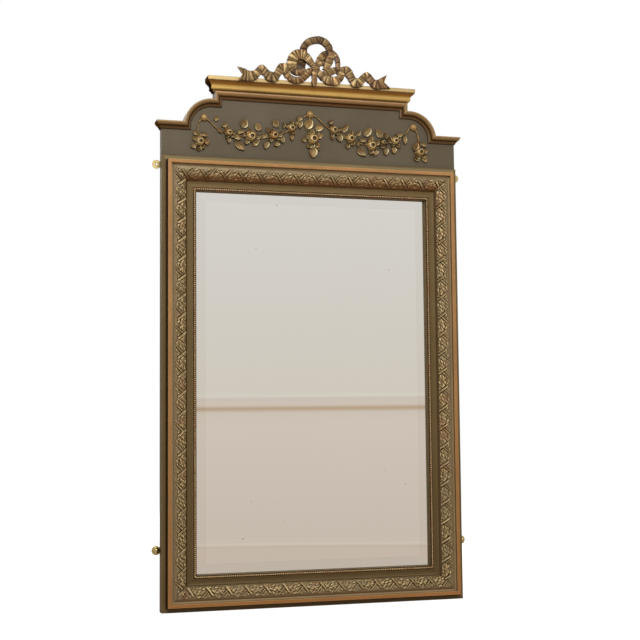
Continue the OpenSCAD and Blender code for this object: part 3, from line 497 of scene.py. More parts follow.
def dress(names, material):
    """Gives CAD nodes a material."""
    for name in names:
        mesh = nodes[name].data
        mesh.materials.clear()
        mesh.materials.append(material)


def sided(*names):
    """The left and the right node of each name."""
    return [name + side for name in names for side in ("_left", "_right")]


dress(sided("frame_stile") + ["frame_rail_top", "frame_rail_bottom"], frame_paint())
dress(["crest_board"], frieze_paint())
dress(sided("shoulder_moulding", "sweep_moulding", "sweep_end", "riser_moulding"), edge_paint())
dress(["centre_moulding"], copper_edge_paint())
dress(["cornice_front"], cornice_paint())
dress(sided("shoulder_return", "cornice_return"), shaded_gilt())
dress(sided("pearls") + ["pearls_top", "pearls_bottom"], pearl_gilt())
dress(["mirror_plate"], silvered_glass())
dress(sided("fixing_plate_top", "fixing_plate_low", "dome_cover"), brass())
boards = softwood("aged_backboards", (1.2, 8, 12), tone(168, 132, 88), tone(118, 84, 50))
dress(["backboard_" + number for number in "1234"], boards)
battens = softwood("aged_battens", (14, 8, 1.4), tone(160, 124, 82), tone(112, 78, 46))
dress(sided("crest_batten") + ["mitre_keys", "glass_wedges", "bow_dowels"], battens)
dress(["backboard_nails", "batten_screws", "plate_screws"], dull_steel())


# Meshes

# Edges of the carving where faces meet at more than this, in degrees, look sharp
SHARP_ANGLE = 38


def grid_part(points, relief):
    """A closed piece from rows of points; each row runs once round the piece's section."""
    rows, columns = points.shape[:2]
    corners = points.reshape(-1, 3)
    row, column = np.meshgrid(np.arange(rows - 1), np.arange(columns), indexing="ij")
    beside = (column + 1) % columns
    faces = np.stack([row * columns + column, row * columns + beside,
                      (row + 1) * columns + beside, (row + 1) * columns + column], -1).reshape(-1, 4)
    caps = [tuple(range(columns - 1, -1, -1)), tuple((rows - 1) * columns + np.arange(columns))]
    return corners, [tuple(face) for face in faces] + caps, relief.reshape(-1)


def join(name, parts, material, replaced):
    """Makes one object from [(corners, faces, relief), ...], which are closed pieces."""
    corners = np.concatenate([part[0] for part in parts])
    relief = np.concatenate([part[2] for part in parts])
    faces = []
    offset = 0
    for part in parts:
        faces += [tuple(int(index) + offset for index in face) for face in part[1]]
        offset += len(part[0])
    mesh = bpy.data.meshes.new(name)
    mesh.from_pydata(corners.tolist(), [], faces)
    mesh.attributes.new("relief", "FLOAT", "POINT").data.foreach_set("value", relief.astype(np.float32))
    work = bmesh.new()
    work.from_mesh(mesh)
    bmesh.ops.recalc_face_normals(work, faces=work.faces)
    work.to_mesh(mesh)
    work.free()
    mesh.polygons.foreach_set("use_smooth", [True] * len(mesh.polygons))
    mesh.set_sharp_from_angle(angle=math.radians(SHARP_ANGLE))
    mesh.materials.append(material)
    mesh.update()
    piece = bpy.data.objects.new(name, mesh)
    bpy.context.scene.collection.objects.link(piece)
    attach(piece, "root")
    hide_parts(*replaced)
    return piece


def smooth_step(value):
    share = np.clip(value, 0, 1)
    return share * share * (3 - 2 * share)


# The frame's ornament: crossed ribbons over laurel leaves, on a rounded bed

BED_CHORD = math.hypot(BED_W, BED_DROP)
BED_R = ((BED_CHORD / 2) ** 2 + BED_RISE ** 2) / (2 * BED_RISE)
BED_CENTRE = (BED_OUTER + BED_W / 2 - (BED_R - BED_RISE) * BED_DROP / BED_CHORD,
              -FILLET_Y - BED_DROP / 2 - (BED_R - BED_RISE) * BED_W / BED_CHORD)
BED_FROM = math.atan2(-FILLET_Y - BED_CENTRE[1], BED_OUTER - BED_CENTRE[0])
BED_TO = math.atan2(-FILLET_Y - BED_DROP - BED_CENTRE[1], BED_OUTER + BED_W - BED_CENTRE[0])
BED_ARC = BED_R * (BED_FROM - BED_TO) / MM

# Columns across a strip, the length of its rows, and how its painted light and shade follow the relief:
# the level of flat places, and how much ridges, painted lighter, and hollows, painted darker, stand out
# from what is near and from what is wide around
STRIP_COLUMNS = 46
STRIP_ROW = 0.00095
SHADE_LEVEL = 0.42
SHADE_NEAR = 0.66
SHADE_WIDE = 0.03

# Where the ribbons of one repeat cross, in mm along it and across the bed, and each ribbon's lean,
# first and last place across, half width and height
CROSSING = (18.5, 25.5)
RIBBONS = [(-0.97, 5, 32, 1.9, 0.9), (0.72, 9, 36, 2.7, 2.1)]
# Laurel leaves of one repeat: (along, across, angle from the run, length, width, height), in mm
LAUREL = [(27, 31, -30, 11, 6, 2.2), (34, 34, -20, 11, 5, 2.0), (29, 23, -15, 13, 6, 2.4),
          (37, 28, -38, 12, 6, 2.4), (43, 33, -22, 11, 5, 2.0), (40, 21, -26, 13, 6, 2.4),
          (48, 27, -35, 12, 6, 2.2), (50, 20, 12, 12, 6, 2.2), (54, 33, -24, 10, 5, 1.8),
          (58, 27, -30, 10, 5, 1.8), (30, 15, 22, 12, 5, 1.9), (35, 9, -12, 14, 7, 2.0),
          (46, 10, 16, 13, 6, 1.9), (59, 13, -16, 10, 5, 1.6), (60, 20, 26, 9, 5, 1.7),
          (12, 34, -28, 9, 5, 1.6), (4, 31, -38, 11, 5, 1.7), (22, 6, 12, 11, 5, 1.3)]


def leaf_relief(along, across, leaf, variety):
    """The height of one laurel leaf, which its variety turns and raises a little."""
    start, side, angle, length, width, height = leaf
    turn = np.radians(angle + 9 * variety)
    u = (along - start) * np.cos(turn) + (across - side) * np.sin(turn)
    v = (across - side) * np.cos(turn) - (along - start) * np.sin(turn)
    share = np.clip(u / length, 0, 1)
    half = width / 2 * np.sin(np.pi * share ** 0.8) ** 0.75 + 0.01
    inside = np.clip(1 - (v / half) ** 2, 0, 1) * ((u > 0) & (u < length))
    rib = 0.5 * np.exp(-(v / 0.6) ** 2) * (inside > 0.1)
    return (height * (1 + 0.3 * variety) * (0.6 + 0.4 * share) * np.sqrt(inside) - rib) * (inside > 0)


def ribbon_relief(along, across, lean, first, last, half, height):
    """The height of one straight ribbon across the bed, with raised rims and a groove beside it."""
    offset = np.abs(along - CROSSING[0] - lean * (across - CROSSING[1])) / math.hypot(1, lean)
    edges = smooth_step((half - offset) / 0.6)
    body = edges * smooth_step((across - first) / 3) * smooth_step((last - across) / 3)
    rims = np.exp(-((offset - half + 0.9) / 0.5) ** 2)
    groove = np.exp(-((offset - half - 1.1) / 0.8) ** 2) * (across > first) * (across < last)
    return np.where(body > 0.15, body * (height + 1.2 * rims), -1.3 * groove)


def ornament_relief(along, across, pitch):
    """Height above the bed, in mm, of the crossed ribbons and the leaves between them."""
    height = np.zeros_like(along)
    cell = np.floor(along / pitch)
    for back in (0, 1):
        run = along - (cell - back) * pitch
        for leaf in LAUREL:
            variety = np.sin(2.4 * (cell - back) + 1.9 * leaf[0] + leaf[1])
            height = np.maximum(height, leaf_relief(run, across, leaf, variety))
    for ribbon in RIBBONS:
        for back in (0, 1):
            raised = ribbon_relief(along - (cell - back) * pitch, across, *ribbon)
            height = np.where(raised > 0.15, raised, height + np.minimum(raised, 0))
    return height


def soften(values, width):
    """Values averaged over their neighbours, with the width in cells."""
    reach = np.arange(-3 * width, 3 * width + 1)
    weights = np.exp(-(reach / width) ** 2 / 2)
    weights /= weights.sum()

    def along_row(row):
        return np.convolve(np.pad(row, 3 * width, mode="edge"), weights, mode="valid")

    return np.apply_along_axis(along_row, 1, np.apply_along_axis(along_row, 0, values))


def on_bed(angle, radius):
    """How far inwards and how high places on the bed's round section lie."""
    return BED_CENTRE[0] + radius * np.cos(angle), BED_CENTRE[1] + radius * np.sin(angle)


def ornament(name, length, place, pitch, crossing, material):
    """One side's strip, with a crossing this far from its middle, in mm. Place turns (along, inwards,
    height) into a point."""
    across = np.linspace(0, BED_ARC, STRIP_COLUMNS)
    angle = BED_FROM - across / BED_ARC * (BED_FROM - BED_TO)
    rows = int(length / STRIP_ROW)
    share = np.linspace(-1, 1, rows)[:, None]
    along = share * (length / 2 - on_bed(angle, BED_R)[0])[None, :] / MM
    relief = ornament_relief(along - crossing + CROSSING[0], np.broadcast_to(across, along.shape), pitch)
    relief = relief * smooth_step(across / 1.5) * smooth_step((BED_ARC - across) / 1.5)
    near = relief - soften(relief, 2)
    shade = np.clip(SHADE_LEVEL + SHADE_WIDE * soften(relief, 6) + SHADE_NEAR * near, 0, 1)
    # Two corners under the bed close the section
    under = np.full((rows, 2), BED_R - STRIP_T * 0.9)
    radius = np.hstack([BED_R + relief * MM, under])
    inwards, height = on_bed(np.append(angle, [BED_TO, BED_FROM]), radius)
    shade = np.hstack([shade, np.zeros((rows, 2))])
    part = grid_part(place(share * (length / 2 - inwards), inwards, height), shade)
    piece = join(name + "_relief", [part], material, [name])
    across = np.broadcast_to(np.append(across / BED_ARC, [1, 0]), inwards.shape).astype(np.float32)
    piece.data.attributes.new("across", "FLOAT", "POINT").data.foreach_set("value", across.ravel())


def on_left(along, inwards, height):
    return np.stack([-HALF_W + inwards, -height, BOTTOM + FRAME_H / 2 + along], -1)


def on_right(along, inwards, height):
    return np.stack([HALF_W - inwards, -height, BOTTOM + FRAME_H / 2 - along], -1)


def on_top(along, inwards, height):
    return np.stack([along, -height, TOP - inwards], -1)


def on_bottom(along, inwards, height):
    return np.stack([-along, -height, BOTTOM + inwards], -1)


# Each side's length, placing, pitch of the ribbons and place of one crossing, as measured, and then
# where its painted shade starts and is full, the shade's colour and its strength
SIDES = {
    "left": (FRAME_H, on_left, 49.1, 18.5, (0.76, 0.84, tone(84, 60, 32), 0.85)),
    "right": (FRAME_H, on_right, 49.8, -24.5, (0.8, 0.88, tone(88, 64, 36), 0.75)),
    "top": (2 * HALF_W, on_top, 49.4, 5.0, (0.4, 0.66, tone(124, 80, 36), 0.75)),
    "bottom": (2 * HALF_W, on_bottom, 49.4, -11.0, (0.2, 0.08, tone(108, 76, 40), 0.6))}
for side, (length, place, pitch, crossing, shade_tint) in SIDES.items():
    gilt = ornament_gilt("ornament_gilt_" + side, *shade_tint)
    ornament("ornament_" + side, length, place, pitch, crossing, gilt)


# Ribbons, flowers and leaves

# How finely the carving is made: points between two given ones of a curve, the spacing of rows in mm,
# and rows and columns
CURVE_POINTS = 24
RIBBON_ROW = 0.6
RIBBON_COLUMNS = 15
STEM_ROW = 0.9
STEM_COLUMNS = 9
LEAF_ROWS = 26
LEAF_COLUMNS = 17
PETAL_RINGS = 20
HEART_RINGS = 12
ROSE_COLUMNS = 64
BOSS_COLUMNS = 40


def smooth_curve(points, step):
    """Evenly spaced rows on a smooth curve through the points, and the run along it to each."""
    points = np.array(points, float)
    ends = np.concatenate([2 * points[:1] - points[1:2], points, 2 * points[-1:] - points[-2:-1]])
    share = np.linspace(0, 1, CURVE_POINTS, endpoint=False)[:, None]
    pieces = [b + 0.5 * share * (c - a + share * (2 * a - 5 * b + 4 * c - d
                                                  + share * (3 * (b - c) + d - a)))
              for a, b, c, d in zip(ends, ends[1:], ends[2:], ends[3:])]
    fine = np.concatenate(pieces + [points[-1:]])
    run = np.concatenate([[0], np.cumsum(np.hypot(*np.diff(fine[:, :2], axis=0).T))])
    even = np.linspace(0, run[-1], int(run[-1] / step) + 2)
    return np.stack([np.interp(even, run, column) for column in fine.T], 1), even


def headings(line):
    """The direction of a curve at each of its rows."""
    along = np.gradient(line[:, :2], axis=0)
    return along / np.hypot(along[:, 0], along[:, 1])[:, None]


def placed(x, z, depth, base_z=TOP, face_y=CREST_FACE):
    """Points in metres from places in mm: across, over the base and out from the face."""
    return np.stack([x * MM, face_y - depth * MM, base_z + z * MM], -1)


# How far the flowers and leaves are sunk into the crest board, in mm, and the relief of hidden backs
SUNK = 0.05
BACK_RELIEF = 0.12


def thick_sheet(x, z, front, back, relief, *base):
    """A closed sheet over a grid of places: its front and its back lie at these depths, in mm."""
    rows, columns = x.shape
    count = rows * columns
    x = np.concatenate([x.ravel(), x.ravel()])
    z = np.concatenate([z.ravel(), z.ravel()])
    depth = np.concatenate([front.ravel(), np.broadcast_to(back, front.shape).ravel()])
    relief = np.concatenate([np.broadcast_to(relief, front.shape).ravel(), np.full(count, BACK_RELIEF)])
    index = np.arange(count).reshape(rows, columns)
    quads = np.stack([index[:-1, :-1], index[:-1, 1:], index[1:, 1:], index[1:, :-1]], -1).reshape(-1, 4)
    rim = np.concatenate([index[0, :-1], index[:-1, -1], index[-1, :0:-1], index[:0:-1, 0]])
    beside = np.roll(rim, -1)
    wall = np.stack([beside, rim, rim + count, beside + count], -1)
    faces = np.concatenate([quads, quads[:, ::-1] + count, wall])
    return placed(x, z, depth, *base), [tuple(face) for face in faces], relief


def ribbon(points, pleat=9.0, height=2.4, notch=0.0, painted_shade_offset=0.0):
    """A pleated ribbon from [x, height over the crest, width, depth] rows, in mm. Its pleats are
    deepest outside each bend. A notch forks its end."""
    line, run = smooth_curve(points, RIBBON_ROW)
    along = headings(line)
    bend = np.gradient(np.unwrap(np.arctan2(along[:, 1], along[:, 0])), run)
    bend = np.convolve(np.pad(bend, 5, mode="edge"), np.full(11, 1 / 11), mode="valid")
    turn = np.clip(bend * line[:, 2], -1, 1)[:, None]
    across = np.linspace(-1, 1, RIBBON_COLUMNS)[None, :]
    wave = (run / pleat + 0.2 * np.sin(run * 0.37 + line[0, 0]))[:, None] + 0.08 * across
    ridge = np.abs(2 * (wave % 1) - 1)
    variety = np.sin(2.3 * np.floor(wave + 0.5) + line[0, 0])
    fan = np.clip(0.3 + 0.5 * np.abs(turn) - 0.35 * turn * across, 0.1, 1)
    half = line[:, 2:3] / 2 * (1 + 0.08 * (ridge - 0.5) * fan)
    x = line[:, :1] - along[:, 1:2] * across * half
    z = line[:, 1:2] + along[:, :1] * across * half
    forked = smooth_step((run - run[-1] + 1.6 * notch) / (1.6 * notch + 0.01))[:, None]
    cut = notch * (1 - np.abs(across)) * forked
    x = x - along[:, :1] * cut
    z = z - along[:, 1:2] * cut
    front = 1.3 * line[:, 3:4] + 1.4 * (1 - across ** 2) + height * (ridge - 0.5) * fan
    crease = np.exp(-(ridge / 0.16) ** 2)
    rim = np.exp(-((np.abs(across) - 0.96) / 0.09) ** 2)
    # Painted light and shade: pleat ridges lighter, creases and edges darker, and each ribbon's own offset
    relief = painted_shade_offset + 0.46 + 0.5 * (ridge - 0.45) * fan + 0.13 * variety - 0.32 * crease * fan - 0.3 * rim
    # Each ribbon's back has a depth of its own, so that no two backs share a plane
    apart = abs(math.sin(line[0, 0] + 2.6 * line[0, 1]))
    back = np.where(line[:, 1:2] - line[:, 2:3] / 2 < 2, 0.2 + 0.2 * apart, 0.8 * apart - 5.0)
    return thick_sheet(x, z, front, back, relief, CREST_TOP, CORNICE_FACE)


# The bosses' centres in mm, and their profile as [radius, depth, relief] rows from the rim inwards;
# the relief is darkest, as painted shade, at the sunk rim and at the foot of the middle dome
BOSSES = {"left": (-292, 104), "centre": (-7, 129), "right": (285, 111)}
BOSS_PROFILE = [[10, -0.05, 0.1], [10, 2.2, 0.24], [9.2, 3.4, 0.42], [7.6, 5.6, 0.55], [6.4, 6, 0.3],
                [5.2, 7.2, 0.5], [3, 8.2, 0.58], [1.2, 8.4, 0.5], [0.1, 8.4, 0.5]]

# A garland's stem and roses in mm, how far petals spread past a rose's radius, and the number of small
# leaves under it
STEM_W = 4.0
STEM_H = 3.6
ROSE_H = 13.0
PETAL_SPREAD = 1.1
COLLAR_LEAVES = 5


def stem(points):
    """A round stem laid on the crest board, in mm over the top of the frame."""
    line, run = smooth_curve(points, STEM_ROW)
    along = headings(line)
    across = np.linspace(-1, 1, STEM_COLUMNS)[None, :]
    swell = 1 + 0.12 * np.sin(run * 0.3)[:, None]
    x = line[:, :1] - along[:, 1:2] * across * STEM_W / 2 * swell
    z = line[:, 1:2] + along[:, :1] * across * STEM_W / 2 * swell
    front = STEM_H * np.sqrt(1 - 0.9 * across ** 2) * swell
    # Painted highlight along the stem's crest, darker to its sides
    relief = 0.14 + 0.28 * (1 - across ** 2) * swell
    return thick_sheet(x, z, front, -SUNK, relief)


def sprig(base_x, base_z, tip_x, tip_z, width):
    """A pointed leaf with a midrib, a hollow blade and a raised rim that has a painted highlight low down.
    """
    length = math.hypot(tip_x - base_x, tip_z - base_z)
    run = np.array([tip_x - base_x, tip_z - base_z]) / length
    variety = math.sin(base_x * 1.7 + tip_z * 0.9)
    u = np.linspace(0, 1, LEAF_ROWS)[:, None]
    v = np.linspace(-1, 1, LEAF_COLUMNS)[None, :]
    blade = np.clip((u - 0.16) / 0.84, 0, 1)
    half = width * (0.55 * np.sin(np.pi * blade ** 0.8) ** 0.8 + 0.04)
    bow = 0.07 * length * variety * np.sin(np.pi * u)
    x = base_x + run[0] * length * u - run[1] * (v * half + bow)
    z = base_z + run[1] * length * u + run[0] * (v * half + bow)
    middle = np.sin(np.pi * blade)
    rib = np.exp(-(v / 0.12) ** 2) * (1 - 0.6 * u)
    rim = smooth_step((np.abs(v) - 0.58) / 0.26) * middle ** 0.4
    low = np.clip(0.45 - (0.9 * run[0] + 0.5 * run[1]) * v, 0, 1)
    hollow = (1 - v ** 2) * middle
    front = 2.6 + 3.4 * u ** 1.5 + 0.8 * rim + 1.4 * rim * low + 0.6 * rib - 1.9 * hollow
    # Painted highlights on the rim's lower side and along the midrib
    relief = 0.21 + 0.07 * variety + 0.9 * rim * low + 0.16 * rib + 0.16 * u ** 2
    return thick_sheet(x, z, np.maximum(front, 0.8), -SUNK, relief)


def collar(centre_x, centre_z, radius):
    """The small leaves that stand out from under a rose, turned a little from one rose to the next."""
    leaves = []
    for side in range(COLLAR_LEAVES):
        angle = 2 * math.pi * side / COLLAR_LEAVES + 0.35 * math.sin(centre_x * 0.31 + 2.4 * side) + 0.4
        run = (math.cos(angle), math.sin(angle))
        reach = radius * (1.72 + 0.22 * math.sin(centre_x + 1.9 * side))
        leaves.append(sprig(centre_x + 0.5 * radius * run[0], centre_z + 0.5 * radius * run[1],
                            centre_x + reach * run[0], centre_z + reach * run[1], 0.82 * radius))
    return leaves


def rose(centre_x, centre_z, radius):
    """An open rose: flared petals round a globe of wrapped petals with a deep heart."""
    spread = PETAL_SPREAD * radius
    petal_rings = np.linspace(1.06, 0.42, PETAL_RINGS)
    heart_rings = np.linspace(0.4, 0.02, HEART_RINGS)
    rings = np.concatenate([petal_rings, heart_rings])[:, None]
    angle = np.linspace(0, 2 * np.pi, ROSE_COLUMNS, endpoint=False)[None, :]
    turn = angle + centre_x
    petals = np.abs(np.cos(2.5 * turn))
    outline = 1 - 0.13 * (1 - petals) * smooth_step((rings - 0.8) / 0.26)
    low = 0.42 * smooth_step((1.08 - rings) / 0.1) * (0.7 + 0.3 * petals)
    globe = np.clip(1 - (rings / 0.98) ** 2, 0, 1) ** 0.42
    seam = (1.5 * turn / np.pi + 1.4 * rings) % 1
    wrap = 0.15 * np.exp(-(seam / 0.15) ** 2) * smooth_step((rings - 0.42) / 0.1) * (globe > low)
    shape = np.maximum(low, globe) - wrap
    heart = smooth_step((0.36 - rings) / 0.12)
    lip = np.exp(-((rings - 0.45) / 0.08) ** 2)
    front = ROSE_H * (0.95 * shape * (1 - heart) + 0.5 * heart + 0.05 * lip)
    front = np.clip(front, 0.4, ROSE_H + 0.4)
    drift = 0.14 * spread * np.clip(1 - rings, 0, 1)
    x = centre_x + drift + spread * rings * outline * np.cos(angle)
    z = centre_z + drift * 0.4 + spread * rings * outline * np.sin(angle)
    # Painted light and shade: lighter to the upper left, on the lip and on high petals, darker to the
    # lower right, in the petal seams and in the heart
    painted_sunlit_side = 0.16 * np.sin(angle - 0.9) * rings
    raised = 0.12 + 0.44 * front / ROSE_H + 0.2 * lip - 2.8 * wrap + painted_sunlit_side
    relief = raised * (1 - heart) + 0.16 * heart
    # The outermost ring comes twice, the first time sunk into the crest board
    x = np.concatenate([x[:1], x])
    z = np.concatenate([z[:1], z])
    front = np.concatenate([np.full_like(front[:1], -SUNK), front])
    relief = np.concatenate([np.zeros_like(relief[:1]), relief])
    return grid_part(placed(x, z, front), relief)


def boss(centre_x, centre_z):
    """A turned boss that carries the end of a garland."""
    angle = np.linspace(0, 2 * np.pi, BOSS_COLUMNS, endpoint=False)[None, :]
    rows = np.array(BOSS_PROFILE)
    x = centre_x + rows[:, :1] * np.cos(angle)
    z = centre_z + rows[:, :1] * np.sin(angle)
    depth = np.broadcast_to(rows[:, 1:2], x.shape)
    relief = np.broadcast_to(rows[:, 2:3], x.shape)
    return grid_part(placed(x, z, depth), relief)


# The bow's ribbons, from the back to the front, as ([x, height, width, depth] rows, pleat, painted shade
# offset, darker for ribbons that lie back and a little lighter for some in front)
LOOPS = [
    ([[-29, 76, 19, 2.4], [-27, 93, 19, 3], [-14, 107, 19, 3.2], [3, 113, 19, 3.4], [16, 114, 19, 3.4],
      [30, 109, 19, 3.2], [40, 98, 19, 3], [43, 86, 18, 2.6], [42, 72, 16, 2]], 17, -0.2),
    ([[-36, 60, 22, 0], [-35, 48, 25, 0.3], [-36, 38, 24, 0.9], [-31, 28, 18, 2]], 14, -0.26),
    ([[-32, 5, 16, 2], [-24, 16, 20, 2.6], [-15, 25, 20, 3.2], [-5, 33, 14, 3.6]], 14, -0.1),
    ([[14, 50, 18, 0.6], [21, 62, 20, 0.8], [28, 74, 18, 1]], 14, -0.26),
    ([[-80, 30, 14, 2.4], [-77, 18, 16, 3], [-68, 7, 17, 3.8], [-54, 1, 17, 4.4], [-40, 3, 17, 4.8],
      [-29, 11, 17, 4.8], [-18, 23, 15, 4.4], [-6, 33, 11, 4]], 10, 0),
    ([[-66, 38, 16, 4], [-60, 28, 15, 4.6], [-50, 22, 15, 5], [-38, 23, 15, 5.2],
      [-24, 30, 13, 4.4]], 12, -0.04),
    ([[-59, 30, 24, 3.4], [-61, 42, 26, 4.4], [-60, 54, 27, 5], [-54, 65, 27, 5.4], [-43, 70, 27, 5.6],
      [-30, 69, 25, 5.4], [-18, 61, 21, 5], [-8, 50, 16, 4.4], [0, 41, 10, 3.8]], 8, 0.1),
    ([[4, 42, 10, 3.4], [10, 52, 14, 4], [17, 64, 18, 4.4], [26, 73, 20, 4.8], [37, 76, 20, 4.6],
      [46, 74, 18, 4]], 14, -0.08),
    ([[44, 84, 18, 3.4], [44, 70, 20, 4.6], [40, 56, 21, 5.2], [35, 44, 18, 5.2],
      [30, 33, 16, 4.8]], 13, 0.02),
    ([[6, 42, 10, 4.4], [16, 49, 11, 4.8], [28, 52, 12, 5]], 12, -0.05),
    ([[50, 86, 10, 1.6], [58, 77, 13, 2.4], [64, 65, 13, 3], [66, 52, 12, 3.2],
      [65, 41, 11, 3.6]], 14, -0.1),
    ([[78, 38, 10, 3.2], [66, 38, 13, 4], [52, 33, 18, 4.6], [38, 27, 20, 4.8],
      [26, 24, 15, 4.6]], 13, -0.06),
    ([[6, 32, 12, 4], [16, 22, 17, 4.4], [28, 11, 21, 4.8], [42, 6, 23, 5], [57, 6, 23, 4.8],
      [69, 13, 20, 4.2], [75, 24, 16, 3.6], [74, 35, 12, 3]], 10, 0.06),
    ([[1, 30, 14, 4.8], [0, 20, 14, 4.8], [0, 10, 14, 5], [-1, 0, 15, 5.2], [-2, -8, 10, 5.2],
      [-3, -14, 3, 5]], 34, 0)]
TAIL_LEFT = [[-66, 20, 20, 2.4], [-75, 28, 24, 2.8], [-88, 31, 26, 3.2], [-100, 16, 20, 3.8],
             [-107, 8, 24, 4.6], [-115, 5, 27, 5.2], [-126, 9, 24, 4.6], [-134, 18, 20, 3.8],
             [-143, 23, 25, 3], [-152, 17, 20, 3.6], [-161, 8, 23, 4.4], [-172, 4, 26, 5],
             [-184, 4, 28, 4.8], [-196, 7, 33, 4.4], [-208, 7, 38, 4]]
TAIL_RIGHT = [[68, 22, 18, 2.4], [78, 34, 22, 2.8], [91, 34, 26, 3.2], [101, 21, 20, 3.8],
              [107, 10, 23, 4.6], [116, 4, 25, 5.2], [127, 9, 22, 4.6], [136, 19, 20, 3.8],
              [147, 24, 24, 3], [156, 16, 20, 3.6], [163, 8, 22, 4.4], [173, 4, 25, 5],
              [185, 7, 27, 4.8], [196, 11, 32, 4.4], [207, 14, 37, 4]]
KNOT = [[3, 48, 14, 5], [4, 42, 20, 5.8], [3, 35, 22, 6.2], [3, 28, 18, 5.8], [2, 22, 11, 4.6]]

bow_gilt = relief_gilt("bow_gilt", tone(84, 60, 32), tone(148, 120, 76), tone(228, 204, 150),
                       tone(244, 204, 176))
loops = [ribbon(points, pleat, painted_shade_offset=painted_shade_offset) for points, pleat, painted_shade_offset in LOOPS]
join("bow_loops", loops, bow_gilt, ["ribbon_bow"])
join("bow_tail_left", [ribbon(TAIL_LEFT, notch=13)], bow_gilt, ["ribbon_tail_left"])
join("bow_tail_right", [ribbon(TAIL_RIGHT, notch=13)], bow_gilt, ["ribbon_tail_right"])
join("bow_knot_folds", [ribbon(KNOT, 5, 1.6)], bow_gilt, ["bow_knot"])

# Each garland is its stem's points, its roses as [x, height, radius] and its leaves as
# [base x, base height, tip x, tip height, width], in mm over the top of the frame
GARLANDS = {
    "garland_left": [
        [[-284, 101], [-262, 80], [-246, 70], [-228, 66], [-205, 61], [-170, 60], [-145, 57],
         [-126, 60], [-105, 67], [-84, 73], [-58, 88], [-44, 105], [-29, 117], [-15, 126]],
        [[-226, 67, 10], [-167, 61, 14], [-105, 67, 11.5], [-58, 89, 11]],
        [[-268, 99, -253, 104, 9], [-246, 81, -231, 91, 9], [-260, 78, -246, 66, 6],
         [-228, 56, -227, 40, 8], [-209, 68, -186, 74, 9], [-216, 64, -195, 52, 12],
         [-194, 79, -183, 106, 17], [-213, 48, -186, 25, 14], [-164, 34, -146, 54, 12],
         [-139, 76, -155, 96, 14], [-142, 58, -125, 69, 9], [-120, 54, -131, 30, 13],
         [-116, 71, -127, 86, 8], [-94, 86, -108, 107, 14], [-90, 52, -105, 40, 10],
         [-86, 70, -81, 48, 10], [-92, 69, -82, 77, 6], [-82, 84, -79, 105, 6], [-59, 76, -58, 56, 8],
         [-31, 114, -37, 90, 11], [-29, 123, -42, 110, 11], [-50, 97, -41, 109, 8]]],
    "garland_right": [
        [[1, 127], [12, 122], [28, 107], [42, 96], [59, 90], [77, 80], [105, 69], [135, 58], [164, 54],
         [199, 62], [231, 70], [244, 85], [263, 94], [275, 111]],
        [[59, 90, 11], [105, 70, 12.5], [164, 54, 14], [197, 64, 7], [231, 70, 11.5]],
        [[41, 108, 56, 116, 8], [55, 80, 51, 65, 9], [74, 83, 76, 60, 15], [76, 84, 97, 107, 12],
         [99, 58, 94, 43, 10], [123, 75, 131, 92, 8], [140, 76, 162, 102, 17], [126, 71, 149, 66, 10],
         [133, 53, 121, 61, 10], [122, 51, 147, 26, 15], [184, 46, 168, 28, 12], [197, 74, 178, 99, 15],
         [207, 71, 201, 89, 8], [206, 56, 187, 50, 7], [209, 54, 202, 30, 12], [218, 60, 213, 82, 8],
         [226, 57, 226, 36, 12], [237, 62, 247, 53, 8], [235, 84, 253, 90, 9], [256, 90, 259, 63, 9]]],
    "drop_left": [
        [[-300, 99], [-306, 88], [-308, 76], [-308, 64], [-304, 52], [-303, 42]],
        [[-303, 40, 12.5]],
        [[-307, 60, -321, 66, 10], [-305, 63, -283, 56, 9], [-312, 34, -327, 25, 11],
         [-293, 49, -282, 32, 10], [-306, 29, -306, 16, 12]]],
    "drop_right": [
        [[289, 105], [294, 98], [297, 86], [298, 74], [300, 60], [301, 50]],
        [[302, 43, 12.5]],
        [[297, 73, 283, 49, 14], [299, 72, 320, 60, 9], [301, 33, 286, 21, 12], [306, 35, 320, 17, 12],
         [311, 47, 319, 38, 7]]],
    "centre_spray": [
        [[-8, 121], [-8, 108], [-6, 96], [-3, 80], [0, 66], [-1, 50], [-3, 40]],
        [[1, 63, 15]],
        [[-19, 86, -3, 114, 21], [2, 88, 28, 96, 16], [-15, 61, -30, 60, 11], [-2, 50, -17, 41, 10],
         [4, 48, 18, 35, 10], [-2, 45, 0, 13, 18], [-3, 77, -13, 85, 8], [8, 74, 17, 83, 8]]]}

garland_gilt = relief_gilt("garland_gilt", tone(116, 99, 64), tone(182, 150, 94), tone(255, 242, 190),
                           tone(246, 206, 184))
for side, centre in BOSSES.items():
    join("garland_boss_" + side, [boss(*centre)], garland_gilt, ["boss_" + side])
for name, (points, roses, leaves) in GARLANDS.items():
    parts = [stem(points)] + [sprig(*leaf) for leaf in leaves] + [rose(*flower) for flower in roses]
    parts += [leaf for flower in roses for leaf in collar(*flower)]
    join(name + "_carving", parts, garland_gilt, [name])


# Stage, lights and camera

# What the glass reflects of a plain room, from below upwards, as (slope of the ray, colour)
SKIRTING = [(-0.12, tone(200, 189, 177)), (-0.1, tone(203, 189, 175)), (-0.0930, tone(203, 189, 175)),
            (-0.0924, tone(192, 179, 166)), (-0.0918, tone(212, 200, 187)), (-0.0898, tone(212, 200, 187)),
            (-0.0892, tone(194, 182, 169)), (-0.0884, tone(210, 199, 186))]
LOW_WALL = [(-0.0865, tone(204, 193, 181)), (0.0, tone(212, 201, 191)), (0.0105, tone(210, 199, 186))]
DADO_RAIL = [(0.0125, tone(188, 167, 142)), (0.0142, tone(184, 163, 138)), (0.0154, tone(213, 201, 187)),
             (0.0215, tone(206, 197, 186)), (0.0225, tone(219, 213, 203)), (0.024, tone(217, 212, 201))]
HIGH_WALL = [(0.026, tone(213, 207, 197)), (0.2, tone(220, 219, 215))]
ROOM = SKIRTING + LOW_WALL + DADO_RAIL + HIGH_WALL


